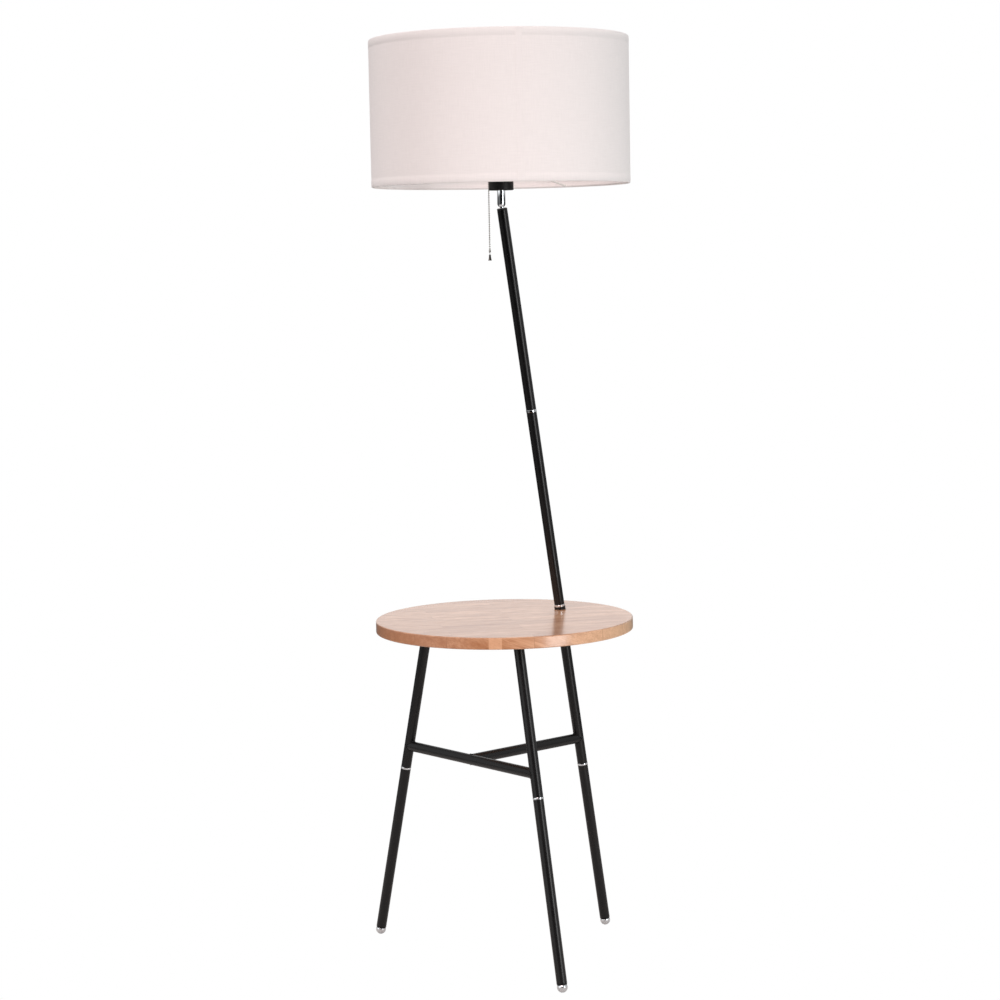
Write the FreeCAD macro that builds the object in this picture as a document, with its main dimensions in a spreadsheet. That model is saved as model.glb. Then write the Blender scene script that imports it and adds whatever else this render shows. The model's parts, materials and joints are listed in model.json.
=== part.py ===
import FreeCAD, Part
import math
import os
from types import SimpleNamespace

import Sketcher
from FreeCAD import Placement, Rotation, Vector

# Floor lamp with a round side table, in millimetres.
# +Z is up and the floor is Z = 0. The lamp is symmetric about the YZ plane.
# The two front legs stand at -Y, the rear leg and the pole share one leaning line at +Y.

SIZES = (
    # stance
    ("front_foot_x", 218.3, "front foot centre, sideways from the middle plane"),
    ("front_foot_y", 96.0, "front foot centre, forward of the origin"),
    ("front_top_x", 107.4, "front leg centre line under the table, sideways"),
    ("front_top_y", 73.5, "front leg centre line under the table, forward"),
    ("rear_foot_y", 198.8, "rear foot centre, behind the origin"),
    ("head_y", 3.5, "upright axis of the lamp head, behind the origin"),
    ("swivel_height", 1170.5, "centre of the swivel ball above the floor"),
    # round tube
    ("tube_diameter", 16.0, "legs, pole and crossbars"),
    ("tube_wall", 1.5, "wall of the round tube"),
    ("crossbar_height", 318.0, "centre line of both crossbars above the floor"),
    ("fit_clearance", 0.05, "radial gap of a plug or insert in a tube"),
    ("thread_clearance", 0.1, "radial gap that stands for a thread"),
    # feet
    ("foot_ball_diameter", 16.0, "chrome ball foot"),
    ("foot_ball_drop", 3.4, "ball centre below the end plug"),
    ("foot_stud_diameter", 6.0, "threaded stud of the ball foot"),
    ("foot_stud_length", 12.0, "stud length inside the end plug"),
    ("stud_hole_spare", 1.0, "blind hole beyond the end of the stud"),
    ("plug_flange", 2.6, "thickness of the end plug outside the tube"),
    ("plug_round", 1.2, "rounded edge of the end plug"),
    ("plug_barrel", 15.0, "length of the end plug inside the tube"),
    # screwed tube joints
    ("nipple_diameter", 10.0, "hollow threaded nipple"),
    ("nipple_bore", 7.6, "bore of the hollow nipple"),
    ("nipple_reach", 14.0, "depth of a nipple in each insert"),
    ("insert_length", 16.0, "threaded insert in a tube end"),
    ("ring_proud", 0.3, "chrome ring proud of the tube"),
    ("leg_ring_height", 3.0, "chrome ring between leg sections"),
    ("front_ring_reach", 281.0, "front foot centre to ring centre, along the leg"),
    ("rear_ring_reach", 271.0, "rear foot centre to leg ring centre, along the leg"),
    ("pole_ring_height", 4.0, "chrome ring between pole sections"),
    ("pole_ring_reach", 854.5, "rear foot centre to pole ring centre, along the line"),
    # table
    ("table_diameter", 400.0, "round wooden top"),
    ("table_thickness", 18.0, "round wooden top"),
    ("table_underside", 513.4, "underside above the floor"),
    ("table_forward", 6.8, "table centre in front of the origin"),
    ("table_round", 1.5, "rounded rims of the wooden top"),
    ("clamp_hole_diameter", 11.0, "slanted hole for the clamp nipple"),
    ("collar_diameter", 17.6, "wedge collars above and below the table"),
    ("upper_collar_height", 5.0, "upper wedge collar, along the pole"),
    ("lower_collar_height", 5.0, "lower wedge collar, along the leg"),
    ("collar_seat_diameter", 19.2, "shallow seat of the upper collar in the top"),
    ("collar_seat_depth", 0.6, "shallow seat of the upper collar in the top"),
    ("base_ring_height", 3.5, "chrome ring under the pole"),
    ("plate_diameter", 56.0, "mounting plate on a front leg"),
    ("plate_thickness", 3.0, "mounting plate on a front leg"),
    ("plate_screw_circle", 40.0, "circle of screws in a plate"),
    ("screw_diameter", 3.6, "wood screw shank"),
    ("screw_length", 16.0, "wood screw under its head"),
    ("screw_head_diameter", 7.6, "wood screw head"),
    ("screw_head_height", 2.2, "wood screw head"),
    ("screw_head_flat", 5.4, "flat on top of the wood screw head"),
    ("screw_clearance", 0.25, "radial gap of a screw in its plate hole"),
    # pole end and swivel
    ("cap_flange", 3.0, "pole cap outside the tube"),
    ("cap_barrel", 12.0, "pole cap inside the tube"),
    ("cap_drop", 5.8, "swivel ball centre above the pole cap"),
    ("swivel_ball_diameter", 9.6, "ball of the swivel"),
    ("swivel_neck_diameter", 6.2, "neck under the ball"),
    ("swivel_bore", 4.6, "lead hole through the ball"),
    ("swivel_stud_diameter", 8.0, "threaded stud in the pole cap"),
    ("swivel_stud_length", 11.0, "threaded stud in the pole cap"),
    ("ball_gap", 0.22, "ball to the lip and to the seat"),
    ("housing_gap", 0.25, "ball to the bore of the housing"),
    ("lip_hold", 0.5, "how far the lip closes in under the ball"),
    ("bore_below_ball", 0.6, "straight bore below the ball centre"),
    ("housing_diameter", 12.6, "chrome swivel housing"),
    ("housing_drop", 3.2, "mouth of the housing below the ball centre"),
    ("housing_rise", 21.5, "top of the housing above the ball centre"),
    ("housing_taper", 3.0, "height of the tapered mouth"),
    ("seat_height", 2.5, "seat ring over the ball"),
    ("seat_bore", 5.2, "lead hole of the seat ring"),
    ("washer_rise", 0.9, "dish of the spring washer"),
    ("washer_thickness", 0.5, "sheet of the spring washer"),
    ("stack_gap", 0.1, "gap between the seat, washer and nipple"),
    ("head_nipple_bore", 7.0, "bore of the nipple into the socket"),
    ("head_nipple_spare", 1.0, "nipple beyond the lock nut"),
    ("lock_nut_flats", 14.0, "lock nut across flats"),
    ("lock_nut_height", 3.0, "lock nut"),
    # socket
    ("cup_diameter", 38.4, "socket cup"),
    ("cup_height", 24.0, "socket cup"),
    ("cup_wall", 1.8, "socket cup"),
    ("cup_floor", 2.5, "socket cup"),
    ("cup_round", 1.5, "rounded bottom rim of the cup"),
    ("carrier_gap", 0.2, "switch carrier to the cup wall"),
    ("carrier_low", 9.0, "switch carrier above the bottom of the cup"),
    ("carrier_thickness", 4.0, "disc of the switch carrier"),
    ("cheek_thickness", 2.5, "cheeks of the switch carrier"),
    ("cheek_spacing", 8.0, "clear width between the cheeks"),
    ("shell_spigot", 3.0, "socket shell inside the cup rim"),
    ("shell_height", 34.0, "socket shell above the cup"),
    ("shell_wall", 2.2, "socket shell"),
    ("shell_shoulder_drop", 12.0, "shoulder above the cup rim"),
    ("shoulder_thickness", 2.5, "shoulder that carries the shade"),
    ("shoulder_diameter", 44.0, "shoulder that carries the shade"),
    ("insulator_thickness", 6.0, "ceramic disc under the screw shell"),
    ("screw_shell_bore", 26.4, "bore of the brass screw shell"),
    ("screw_shell_wall", 0.6, "brass screw shell"),
    ("screw_shell_height", 25.0, "brass screw shell"),
    ("contact_diameter", 6.0, "centre contact"),
    ("contact_height", 2.0, "centre contact"),
    # pull switch
    ("switch_axis_height", 19.0, "lever and rotor axes above the bottom of the cup"),
    ("lever_pivot_x", 12.0, "lever pivot from the head axis"),
    ("lever_tip_x", 29.3, "chain from the head axis"),
    ("lever_overhang", 2.2, "lever beyond the chain"),
    ("lever_width", 5.0, "lever strip"),
    ("lever_thickness", 0.8, "lever strip"),
    ("lever_drop", 24.0, "angle of a full pull, in degrees"),
    ("fork_slot", 1.6, "slot at the lever tip, round the chain wire"),
    ("lever_hub_diameter", 5.0, "hub of the lever"),
    ("pin_diameter", 2.0, "pins of the lever and rotor"),
    ("pin_clearance", 0.06, "radial running gap on the pins"),
    ("side_gap", 0.3, "running gap beside hubs and strips"),
    ("rotor_x", 1.0, "rotor axis from the head axis"),
    ("rotor_diameter", 9.0, "ratchet rotor"),
    ("rotor_width", 6.0, "ratchet rotor"),
    ("rotor_notch", 1.1, "width and depth of the notches of the rotor"),
    ("spring_wire", 0.5, "return spring wall"),
    ("spring_length", 2.2, "return spring on the lever pin"),
    # pull chain
    ("bead_diameter", 2.4, "ball chain bead"),
    ("bead_pitch", 3.4, "ball chain pitch"),
    ("bead_count", 32, "beads under the lever"),
    ("link_diameter", 0.7, "wire between beads"),
    ("first_bead", 2.2, "nearest bead centre to the lever strip"),
    ("link_gap", 0.3, "top link above the first bead"),
    ("connector_diameter", 3.2, "barrel at the end of the chain"),
    ("connector_length", 5.0, "barrel at the end of the chain"),
    ("bell_neck", 2.8, "wire between the barrel and the bell"),
    ("bell_top_diameter", 3.0, "bell pull"),
    ("bell_rim_diameter", 5.4, "bell pull"),
    ("bell_height", 9.3, "bell pull"),
    ("bell_lip", 1.2, "straight lip of the bell pull"),
    # shade
    ("shade_diameter", 396.8, "drum shade"),
    ("shade_height", 222.3, "drum shade"),
    ("shade_above_cup", 7.0, "lower rim above the bottom of the cup"),
    ("shade_sheet", 1.0, "laminated fabric"),
    ("ring_wire", 3.0, "wire rings and spider arms"),
    ("ring_inset", 1.0, "wire ring inside the rim"),
    ("glue_gap", 0.1, "wire ring to the fabric"),
    ("hub_diameter", 50.0, "spider hub"),
    ("hub_thickness", 1.6, "spider hub"),
    ("hub_clearance", 0.3, "spider hub round the socket shell"),
    ("shade_ring_diameter", 46.0, "threaded shade ring"),
    ("shade_ring_height", 6.0, "threaded shade ring"),
    ("arm_turn", 107.0, "direction of the first spider arm, in degrees"),
    # lamp bulb
    ("bulb_diameter", 60.0, "glass"),
    ("bulb_length", 104.0, "tip of the cap to the top of the glass"),
    ("bulb_cap_diameter", 26.0, "screw cap"),
    ("bulb_cap_height", 23.0, "screw cap"),
    ("bulb_tip_diameter", 8.0, "contact tip of the cap"),
    ("bulb_tip_height", 2.2, "contact tip of the cap"),
    ("bulb_glass_wall", 0.8, "glass"),
    ("bulb_gap", 0.2, "cap tip above the centre contact"),
    # cord inlet and inner lead
    ("inlet_reach", 60.0, "rear foot centre to the cord inlet, along the leg"),
    ("inlet_turn", 49.0, "direction of the cord inlet, turned from straight back, in degrees"),
    ("inlet_hole_diameter", 8.0, "hole in the rear leg"),
    ("grommet_diameter", 10.4, "outer flange of the grommet"),
    ("grommet_flange", 1.2, "flange outside the tube"),
    ("grommet_depth", 1.2, "grommet inside the tube wall"),
    ("grommet_bore", 5.4, "cord hole"),
    ("lead_diameter", 4.2, "inner lead"),
    ("lead_bend", 5.0, "bend of the lead at the inlet"),
)

SPIDER_ARMS = 3
PLATE_SCREWS = 3
NUT_SIDES = 6
ROTOR_TEETH = 4
SIDES = (("left", -1), ("right", 1))

# Two lengths closer than this are the same one.
SAME = 0.01


class Size:
    """A length that carries its number and the formula that ties it to the sheet."""

    def __init__(self, value, formula):
        self.value = float(value)
        self.formula = formula

    def joined(self, sign, other, value):
        """Size made of this one, a sign and another one."""
        return Size(value, "(%s %s %s)" % (self.formula, sign, other.formula))

    def __add__(self, other):
        other = as_size(other)
        return self.joined("+", other, self.value + other.value)

    def __sub__(self, other):
        other = as_size(other)
        return self.joined("-", other, self.value - other.value)

    def __mul__(self, other):
        other = as_size(other)
        return self.joined("*", other, self.value * other.value)

    def __truediv__(self, other):
        other = as_size(other)
        return self.joined("/", other, self.value / other.value)

    def __neg__(self):
        return as_size(0) - self


def as_size(item):
    """Plain number or size, as a size."""
    return item if isinstance(item, Size) else Size(item, repr(float(item)))


def root(size):
    """Square root."""
    return Size(math.sqrt(size.value), "sqrt(%s)" % size.formula)


def square(size):
    """Second power."""
    return size * size


doc = FreeCAD.newDocument("floor_lamp_with_table")


def read_sheet():
    """Write the driving sizes into the sheet and return them by name."""
    sheet = doc.addObject("Spreadsheet::Sheet", "Sizes")
    for row, (name, value, meaning) in enumerate(SIZES, start=1):
        sheet.set("A%d" % row, name)
        sheet.set("B%d" % row, str(value))
        sheet.set("C%d" % row, meaning)
        sheet.setAlias("B%d" % row, name)
    doc.recompute()
    names = [name for name, value, meaning in SIZES]
    return SimpleNamespace(**{name: Size(sheet.get(name), "Sizes." + name) for name in names})


S = read_sheet()
ZERO = as_size(0)

# Sizes that follow from the driving ones.
tube_radius = S.tube_diameter / 2
tube_bore = tube_radius - S.tube_wall
insert_radius = tube_bore - S.fit_clearance
ring_radius = tube_radius + S.ring_proud
nipple_radius = S.nipple_diameter / 2
thread_bore = nipple_radius + S.thread_clearance
foot_radius = S.foot_ball_diameter / 2
plug_top = S.foot_ball_drop + S.plug_flange
table_top = S.table_underside + S.table_thickness

front_dx = S.front_foot_x - S.front_top_x
front_dy = S.front_foot_y - S.front_top_y
front_rise = S.table_underside - foot_radius
front_length = root(square(front_dx) + square(front_dy) + square(front_rise))

rear_run = S.rear_foot_y - S.head_y
rear_rise = S.swivel_height - foot_radius
rear_length = root(square(rear_run) + square(rear_rise))
clamp_low = (S.table_underside - foot_radius) * rear_length / rear_rise
clamp_high = (table_top - foot_radius) * rear_length / rear_rise
clamp_y = S.rear_foot_y - rear_run * (table_top - foot_radius) / rear_rise
collar_seat = table_top - S.collar_seat_depth
leg_end = clamp_low - S.lower_collar_height
base_ring_low = clamp_high + S.upper_collar_height
pole_start = base_ring_low + S.base_ring_height
pole_ring_low = S.pole_ring_reach - S.pole_ring_height / 2
pole_ring_high = S.pole_ring_reach + S.pole_ring_height / 2
pole_end = rear_length - S.cap_drop
cap_low = pole_end - S.cap_flange

swivel_radius = S.swivel_ball_diameter / 2
seat_low = root(square(swivel_radius + S.ball_gap) - square(S.seat_bore / 2))
seat_high = seat_low + S.seat_height
washer_low = seat_high + S.stack_gap
head_nipple_low = washer_low + S.washer_rise + S.washer_thickness + S.stack_gap

cup_low = S.housing_rise
cup_radius = S.cup_diameter / 2
cup_bore = cup_radius - S.cup_wall
cup_top = cup_low + S.cup_height
nut_low = cup_low + S.cup_floor
nut_high = nut_low + S.lock_nut_height
carrier_low = cup_low + S.carrier_low
carrier_high = carrier_low + S.carrier_thickness
shell_radius = cup_bore
shell_bore = shell_radius - S.carrier_gap - S.shell_wall
shell_top = cup_top + S.shell_height
shoulder_low = cup_top + S.shell_shoulder_drop
shoulder_high = shoulder_low + S.shoulder_thickness
hub_high = shoulder_high + S.hub_thickness
contact_low = cup_top + S.insulator_thickness
switch_axis = cup_low + S.switch_axis_height
bulb_low = contact_low + S.contact_height + S.bulb_gap
bulb_cap_low = bulb_low + S.bulb_tip_height
bulb_cap_high = bulb_cap_low + S.bulb_cap_height
shade_low = cup_low + S.shade_above_cup
shade_high = shade_low + S.shade_height
wire_radius = S.ring_wire / 2
shade_ring_path = S.shade_diameter / 2 - S.shade_sheet - S.glue_gap - wire_radius
chain_end = S.first_bead + S.bead_pitch * (S.bead_count - 1) + S.bead_diameter / 2


def shifted(x, y, height):
    """Placement moved without turning."""
    return Placement(Vector(x.value, y.value, height.value), Rotation())


def along(start, end):
    """Placement at start whose Z axis points to end."""
    return Placement(start, Rotation(Vector(0, 0, 1), end - start))


def front_frame(side):
    """Placement of a front leg: its foot centre, with Z up the leg."""
    foot = Vector(side * S.front_foot_x.value, -S.front_foot_y.value, foot_radius.value)
    top = Vector(side * S.front_top_x.value, -S.front_top_y.value, S.table_underside.value)
    return along(foot, top)


WORLD = Placement()
REAR_FOOT = Vector(0, S.rear_foot_y.value, foot_radius.value)
SWIVEL = Vector(0, S.head_y.value, S.swivel_height.value)
REAR = along(REAR_FOOT, SWIVEL)
HEAD = Placement(SWIVEL, Rotation())
LEGS = [(name, front_frame(side), S.front_ring_reach) for name, side in SIDES]
LEGS.append(("rear", REAR, S.rear_ring_reach))
INLET = REAR.multiply(Placement(Vector(0, 0, 0), Rotation(Vector(0, 0, 1), S.inlet_turn.value)))
ALONG_Y = Placement(Vector(), Rotation(Vector(1, 0, 0), -90))


def bind(feature, **sizes):
    """Tie a feature's properties to the sheet."""
    for name, size in sizes.items():
        feature.setExpression(name, size.formula)
    return feature


def origin_part(body, role):
    """Plane or axis of a body's own origin."""
    return [item for item in body.Origin.OriginFeatures if item.Role == role][0]


def new_sketch(body, plane, name):
    """Empty sketch on one of a body's own origin planes."""
    sketch = body.newObject("Sketcher::SketchObject", name)
    sketch.AttachmentSupport = [(origin_part(body, plane), "")]
    sketch.MapMode = "FlatFace"
    return sketch


def pin_point(sketch, line, across, up):
    """Tie the start of a line to its distances from the sketch's origin."""
    for kind, size in (("DistanceX", across), ("DistanceY", up)):
        name = "%s_%d" % (kind, line)
        index = sketch.addConstraint(Sketcher.Constraint(kind, -1, 1, line, 1, size.value))
        sketch.renameConstraint(index, name)
        sketch.setExpression("Constraints." + name, size.formula)


def draw_outline(sketch, corners):
    """Closed outline of straight lines, each corner tied to the sheet."""
    points = [Vector(across.value, up.value, 0) for across, up in corners]
    count = len(points)
    for line in range(count):
        sketch.addGeometry(Part.LineSegment(points[line], points[(line + 1) % count]), False)
    for line in range(count):
        sketch.addConstraint(Sketcher.Constraint("Coincident", line, 2, (line + 1) % count, 1))
    for line, (across, up) in enumerate(corners):
        pin_point(sketch, line, as_size(across), as_size(up))


def draw_circle(sketch, across, up, radius):
    """Circle with its centre and radius tied to the sheet."""
    centre = Vector(across.value, up.value, 0)
    index = sketch.addGeometry(Part.Circle(centre, Vector(0, 0, 1), radius.value), False)
    for kind, size in (("DistanceX", across), ("DistanceY", up)):
        name = "%s_%d" % (kind, index)
        spot = sketch.addConstraint(Sketcher.Constraint(kind, -1, 1, index, 3, size.value))
        sketch.renameConstraint(spot, name)
        sketch.setExpression("Constraints." + name, size.formula)
    spot = sketch.addConstraint(Sketcher.Constraint("Radius", index, radius.value))
    sketch.renameConstraint(spot, "Radius_%d" % index)
    sketch.setExpression("Constraints.Radius_%d" % index, radius.formula)


def turned(label, outline, frame=WORLD):
    """Body turned about its Z axis from a closed outline of (radius, height) corners."""
    body = doc.addObject("PartDesign::Body", label)
    body.Label = label
    sketch = new_sketch(body, "XZ_Plane", label + "_outline")
    draw_outline(sketch, outline)
    turn = body.newObject("PartDesign::Revolution", label + "_turn")
    turn.Profile = sketch
    turn.ReferenceAxis = (sketch, ["V_Axis"])
    turn.Angle = 360
    body.Placement = frame
    return body


def tube(label, inner, outer, low, high, frame=WORLD):
    """Turned ring or tube with square ends."""
    return turned(label, [(inner, low), (outer, low), (outer, high), (inner, high)], frame)


def rounded(body, size, wanted):
    """Round the circular edges of a body that have one of the wanted (radius, height)."""
    doc.recompute()
    tip = body.Tip
    names = []
    for number, edge in enumerate(tip.Shape.Edges, start=1):
        if not isinstance(edge.Curve, Part.Circle):
            continue
        for radius, height in wanted:
            same_radius = abs(edge.Curve.Radius - radius.value) < SAME
            if same_radius and abs(edge.Curve.Center.z - height.value) < SAME:
                names.append("Edge%d" % number)
    fillet = body.newObject("PartDesign::Fillet", body.Label + "_round")
    fillet.Base = (tip, names)
    bind(fillet, Radius=size)
    return body


def rod(label, radius, low, length, frame=WORLD):
    """Plain cylinder along the Z axis of a frame."""
    part = doc.addObject("Part::Cylinder", label)
    part.Label = label
    bind(part, Radius=radius, Height=length)
    part.Placement = frame.multiply(shifted(ZERO, ZERO, low))
    return part


def cross_rod(label, radius, length, x, start_y, height, frame):
    """Plain cylinder along the Y axis of a frame."""
    part = doc.addObject("Part::Cylinder", label)
    part.Label = label
    bind(part, Radius=radius, Height=length)
    part.Placement = frame.multiply(shifted(x, start_y, height)).multiply(ALONG_Y)
    return part


def block(label, low, high, frame=WORLD):
    """Box between two corners of a frame."""
    part = doc.addObject("Part::Box", label)
    part.Label = label
    spans = [end - start for start, end in zip(low, high)]
    bind(part, Length=spans[0], Width=spans[1], Height=spans[2])
    part.Placement = frame.multiply(shifted(*low))
    return part


def ball(label, radius, height, frame=WORLD):
    """Sphere on the Z axis of a frame."""
    part = doc.addObject("Part::Sphere", label)
    part.Label = label
    bind(part, Radius=radius)
    part.Placement = frame.multiply(shifted(ZERO, ZERO, height))
    return part


def cut(label, base, tool):
    """Base without tool."""
    part = doc.addObject("Part::Cut", label)
    part.Label = label
    part.Base = base
    part.Tool = tool
    return part


def fused(label, shapes):
    """Several shapes as one solid."""
    part = doc.addObject("Part::MultiFuse", label)
    part.Label = label
    part.Shapes = shapes
    part.Refine = True
    return part


def shared(label, first, second):
    """What two shapes have in common."""
    part = doc.addObject("Part::MultiCommon", label)
    part.Label = label
    part.Shapes = [first, second]
    return part


def group(label, members):
    """Alike pieces as one node of separate solids."""
    part = doc.addObject("Part::Compound", label)
    part.Label = label
    part.Links = members
    return part


def half_space(label, height, above):
    """Large block that ends at a height of the lamp, used to cut a piece level."""
    reach = S.table_diameter
    low = [-reach, -reach, height if above else height - reach]
    high = [reach, reach, height + reach if above else height]
    return block(label, low, high)


# Feet

def foot_ball(name, frame):
    """Chrome ball, flat where it meets the end plug, with its threaded stud."""
    label = "foot_ball_" + name
    flat = S.foot_ball_drop
    sphere = ball(label + "_sphere", foot_radius, ZERO, frame)
    over = foot_radius + flat
    top = block(label + "_top", [-over, -over, flat], [over, over, over], frame)
    body = cut(label + "_body", sphere, top)
    stud = rod(label + "_stud", S.foot_stud_diameter / 2, ZERO, flat + S.foot_stud_length, frame)
    return fused(label, [body, stud])


def foot_plugs():
    """Black end plugs: rounded flange under the tube, barrel inside it, blind stud hole."""
    low = S.foot_ball_drop
    high = plug_top + S.plug_barrel
    hole = S.foot_stud_diameter / 2 + S.thread_clearance
    hole_end = low + S.foot_stud_length + S.stud_hole_spare
    outline = [(hole, low), (tube_radius, low), (tube_radius, plug_top), (insert_radius, plug_top),
               (insert_radius, high), (ZERO, high), (ZERO, hole_end), (hole, hole_end)]
    plugs = [turned("foot_plug_" + name, outline, frame) for name, frame, reach in LEGS]
    return group("foot_plugs", [rounded(plug, S.plug_round, [(tube_radius, low)])
                                for plug in plugs])


# Legs

def leg_lower(name, frame, ring_reach):
    """Lower leg tube, from the end plug to the chrome ring."""
    high = ring_reach - S.leg_ring_height / 2
    label = "leg_lower_" + name
    if name != "rear":
        return tube(label, tube_bore, tube_radius, plug_top, high, frame)
    plain = tube(label + "_plain", tube_bore, tube_radius, plug_top, high, frame)
    hole = cross_rod(label + "_inlet", S.inlet_hole_diameter / 2, S.tube_diameter,
                     ZERO, ZERO, S.inlet_reach, INLET)
    return cut(label, plain, hole)


def leg_rings():
    """Chrome rings between the two sections of each leg."""
    half = S.leg_ring_height / 2
    return group("leg_rings", [tube("leg_ring_" + name, thread_bore, ring_radius,
                                    reach - half, reach + half, frame)
                               for name, frame, reach in LEGS])


def front_leg_upper(name, frame):
    """Upper front leg tube, cut level under its mounting plate."""
    label = "leg_upper_" + name
    low = S.front_ring_reach + S.leg_ring_height / 2
    long_tube = tube(label + "_long", tube_bore, tube_radius, low,
                     front_length + S.tube_diameter, frame)
    above = half_space(label + "_above", S.table_underside - S.plate_thickness, True)
    return cut(label, long_tube, above)


def rear_leg_upper():
    """Upper rear leg tube, up to the lower wedge collar."""
    low = S.rear_ring_reach + S.leg_ring_height / 2
    return tube("leg_upper_rear", tube_bore, tube_radius, low, leg_end, REAR)


def insert(label, low, frame):
    """Threaded insert in a tube end."""
    return tube(label, thread_bore, insert_radius, low, low + S.insert_length, frame)


def nipple(label, low, high, frame):
    """Hollow threaded nipple."""
    return tube(label, S.nipple_bore / 2, nipple_radius, low, high, frame)


def tube_inserts():
    """The threaded inserts of every screwed tube joint."""
    joints = [(frame, reach - S.leg_ring_height / 2, reach + S.leg_ring_height / 2)
              for name, frame, reach in LEGS]
    joints.append((REAR, leg_end, pole_start))
    joints.append((REAR, pole_ring_low, pole_ring_high))
    inserts = []
    for number, (frame, low, high) in enumerate(joints, start=1):
        inserts.append(insert("insert_%d_under" % number, low - S.insert_length, frame))
        inserts.append(insert("insert_%d_over" % number, high, frame))
    return group("tube_inserts", inserts)


def joint_nipples():
    """The nipples of the three leg joints and of the pole joint."""
    spots = [(name, frame, reach, S.leg_ring_height) for name, frame, reach in LEGS]
    spots.append(("pole", REAR, S.pole_ring_reach, S.pole_ring_height))
    nipples = []
    for name, frame, reach, height in spots:
        half = height / 2 + S.nipple_reach
        nipples.append(nipple("nipple_" + name, reach - half, reach + half, frame))
    return group("joint_nipples", nipples)


# Crossbars

def level_rod(label, start, end):
    """Round bar between two points of the lamp, at tube size."""
    part = doc.addObject("Part::Cylinder", label)
    part.Label = label
    bind(part, Radius=tube_radius)
    part.Height = (end - start).Length
    part.Placement = along(start, end)
    return part


def on_line(frame, height):
    """Point of a leg's centre line at a height of the lamp."""
    direction = frame.Rotation.multVec(Vector(0, 0, 1))
    return frame.Base + direction * ((height - frame.Base.z) / direction.z)


def crossbars():
    """Bar between the front legs and bar from its middle to the rear leg, coped to the tubes."""
    left = on_line(front_frame(-1), S.crossbar_height.value)
    right = on_line(front_frame(1), S.crossbar_height.value)
    rear = on_line(REAR, S.crossbar_height.value)
    middle = (left + right) / 2
    long_front = level_rod("crossbar_front_long", left, right)
    legs = [rod("cope_" + name, tube_radius, ZERO, front_length, front_frame(side))
            for name, side in SIDES]
    front = cut("crossbar_front", long_front, fused("front_leg_shapes", legs))
    long_rear = level_rod("crossbar_rear_long", middle, rear)
    bar_shape = level_rod("cope_bar", left, right)
    leg_shape = rod("cope_rear", tube_radius, ZERO, clamp_low, REAR)
    rear_bar = cut("crossbar_rear", long_rear, fused("rear_bar_ends", [bar_shape, leg_shape]))
    return [front, rear_bar]


# Table

def plate_centre(side):
    """Middle of a mounting plate, on the front leg's centre line under the table."""
    return (S.front_top_x * side, -S.front_top_y)


def screw_spots(side):
    """Places of the screws round a mounting plate."""
    x, y = plate_centre(side)
    radius = S.plate_screw_circle / 2
    spots = []
    for number in range(PLATE_SCREWS):
        turn = math.radians(90 + 360 * number / PLATE_SCREWS)
        spots.append((x + radius * math.cos(turn), y + radius * math.sin(turn)))
    return spots


def leg_plates():
    """Mounting plates on top of both front legs, with their screw holes."""
    plates = []
    for name, side in SIDES:
        body = doc.addObject("PartDesign::Body", "leg_plate_" + name)
        sketch = new_sketch(body, "XY_Plane", "plate_outline_" + name)
        x, y = plate_centre(side)
        draw_circle(sketch, x, y, S.plate_diameter / 2)
        for hole_x, hole_y in screw_spots(side):
            draw_circle(sketch, hole_x, hole_y, S.screw_diameter / 2 + S.screw_clearance)
        pad = body.newObject("PartDesign::Pad", "plate_pad_" + name)
        pad.Profile = sketch
        bind(pad, Length=S.plate_thickness)
        body.Placement = shifted(ZERO, ZERO, S.table_underside - S.plate_thickness)
        plates.append(body)
    return group("leg_plates", plates)


def plate_screws():
    """Wood screws that hold both mounting plates to the table."""
    shank = S.screw_diameter / 2
    head = S.screw_head_diameter / 2
    flat = S.screw_head_flat / 2
    outline = [(ZERO, -S.screw_head_height), (flat, -S.screw_head_height),
               (head, -S.screw_head_height / 2), (head, ZERO), (shank, ZERO),
               (shank, S.screw_length - shank), (ZERO, S.screw_length)]
    screws = []
    for name, side in SIDES:
        for number, (x, y) in enumerate(screw_spots(side), start=1):
            frame = shifted(x, y, S.table_underside - S.plate_thickness)
            screws.append(turned("screw_%s_%d" % (name, number), outline, frame))
    return group("plate_screws", screws)


def table_top_piece():
    """Round wooden top with rounded rims, pilot holes, the slanted clamp hole and its seat."""
    body = doc.addObject("PartDesign::Body", "table_blank")
    sketch = new_sketch(body, "XY_Plane", "table_outline")
    draw_circle(sketch, ZERO, ZERO, S.table_diameter / 2)
    pad = body.newObject("PartDesign::Pad", "table_pad")
    pad.Profile = sketch
    bind(pad, Length=S.table_thickness)
    radius = S.table_diameter / 2
    rounded(body, S.table_round, [(radius, ZERO), (radius, S.table_thickness)])
    holes = new_sketch(body, "XY_Plane", "table_pilot_holes")
    for name, side in SIDES:
        for x, y in screw_spots(side):
            draw_circle(holes, x, y + S.table_forward, S.screw_diameter / 2)
    pocket = body.newObject("PartDesign::Pocket", "table_pilot_pocket")
    pocket.Profile = holes
    pocket.Reversed = True
    bind(pocket, Length=S.screw_length - S.plate_thickness)
    body.Placement = shifted(ZERO, -S.table_forward, S.table_underside)
    hole = rod("clamp_hole", S.clamp_hole_diameter / 2, clamp_low - S.tube_diameter,
               clamp_high - clamp_low + S.tube_diameter * 2, REAR)
    seat = rod("collar_seat", S.collar_seat_diameter / 2, ZERO, S.table_thickness,
               shifted(ZERO, clamp_y, collar_seat))
    return cut("table_top", body, fused("table_cuts", [hole, seat]))


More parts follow.
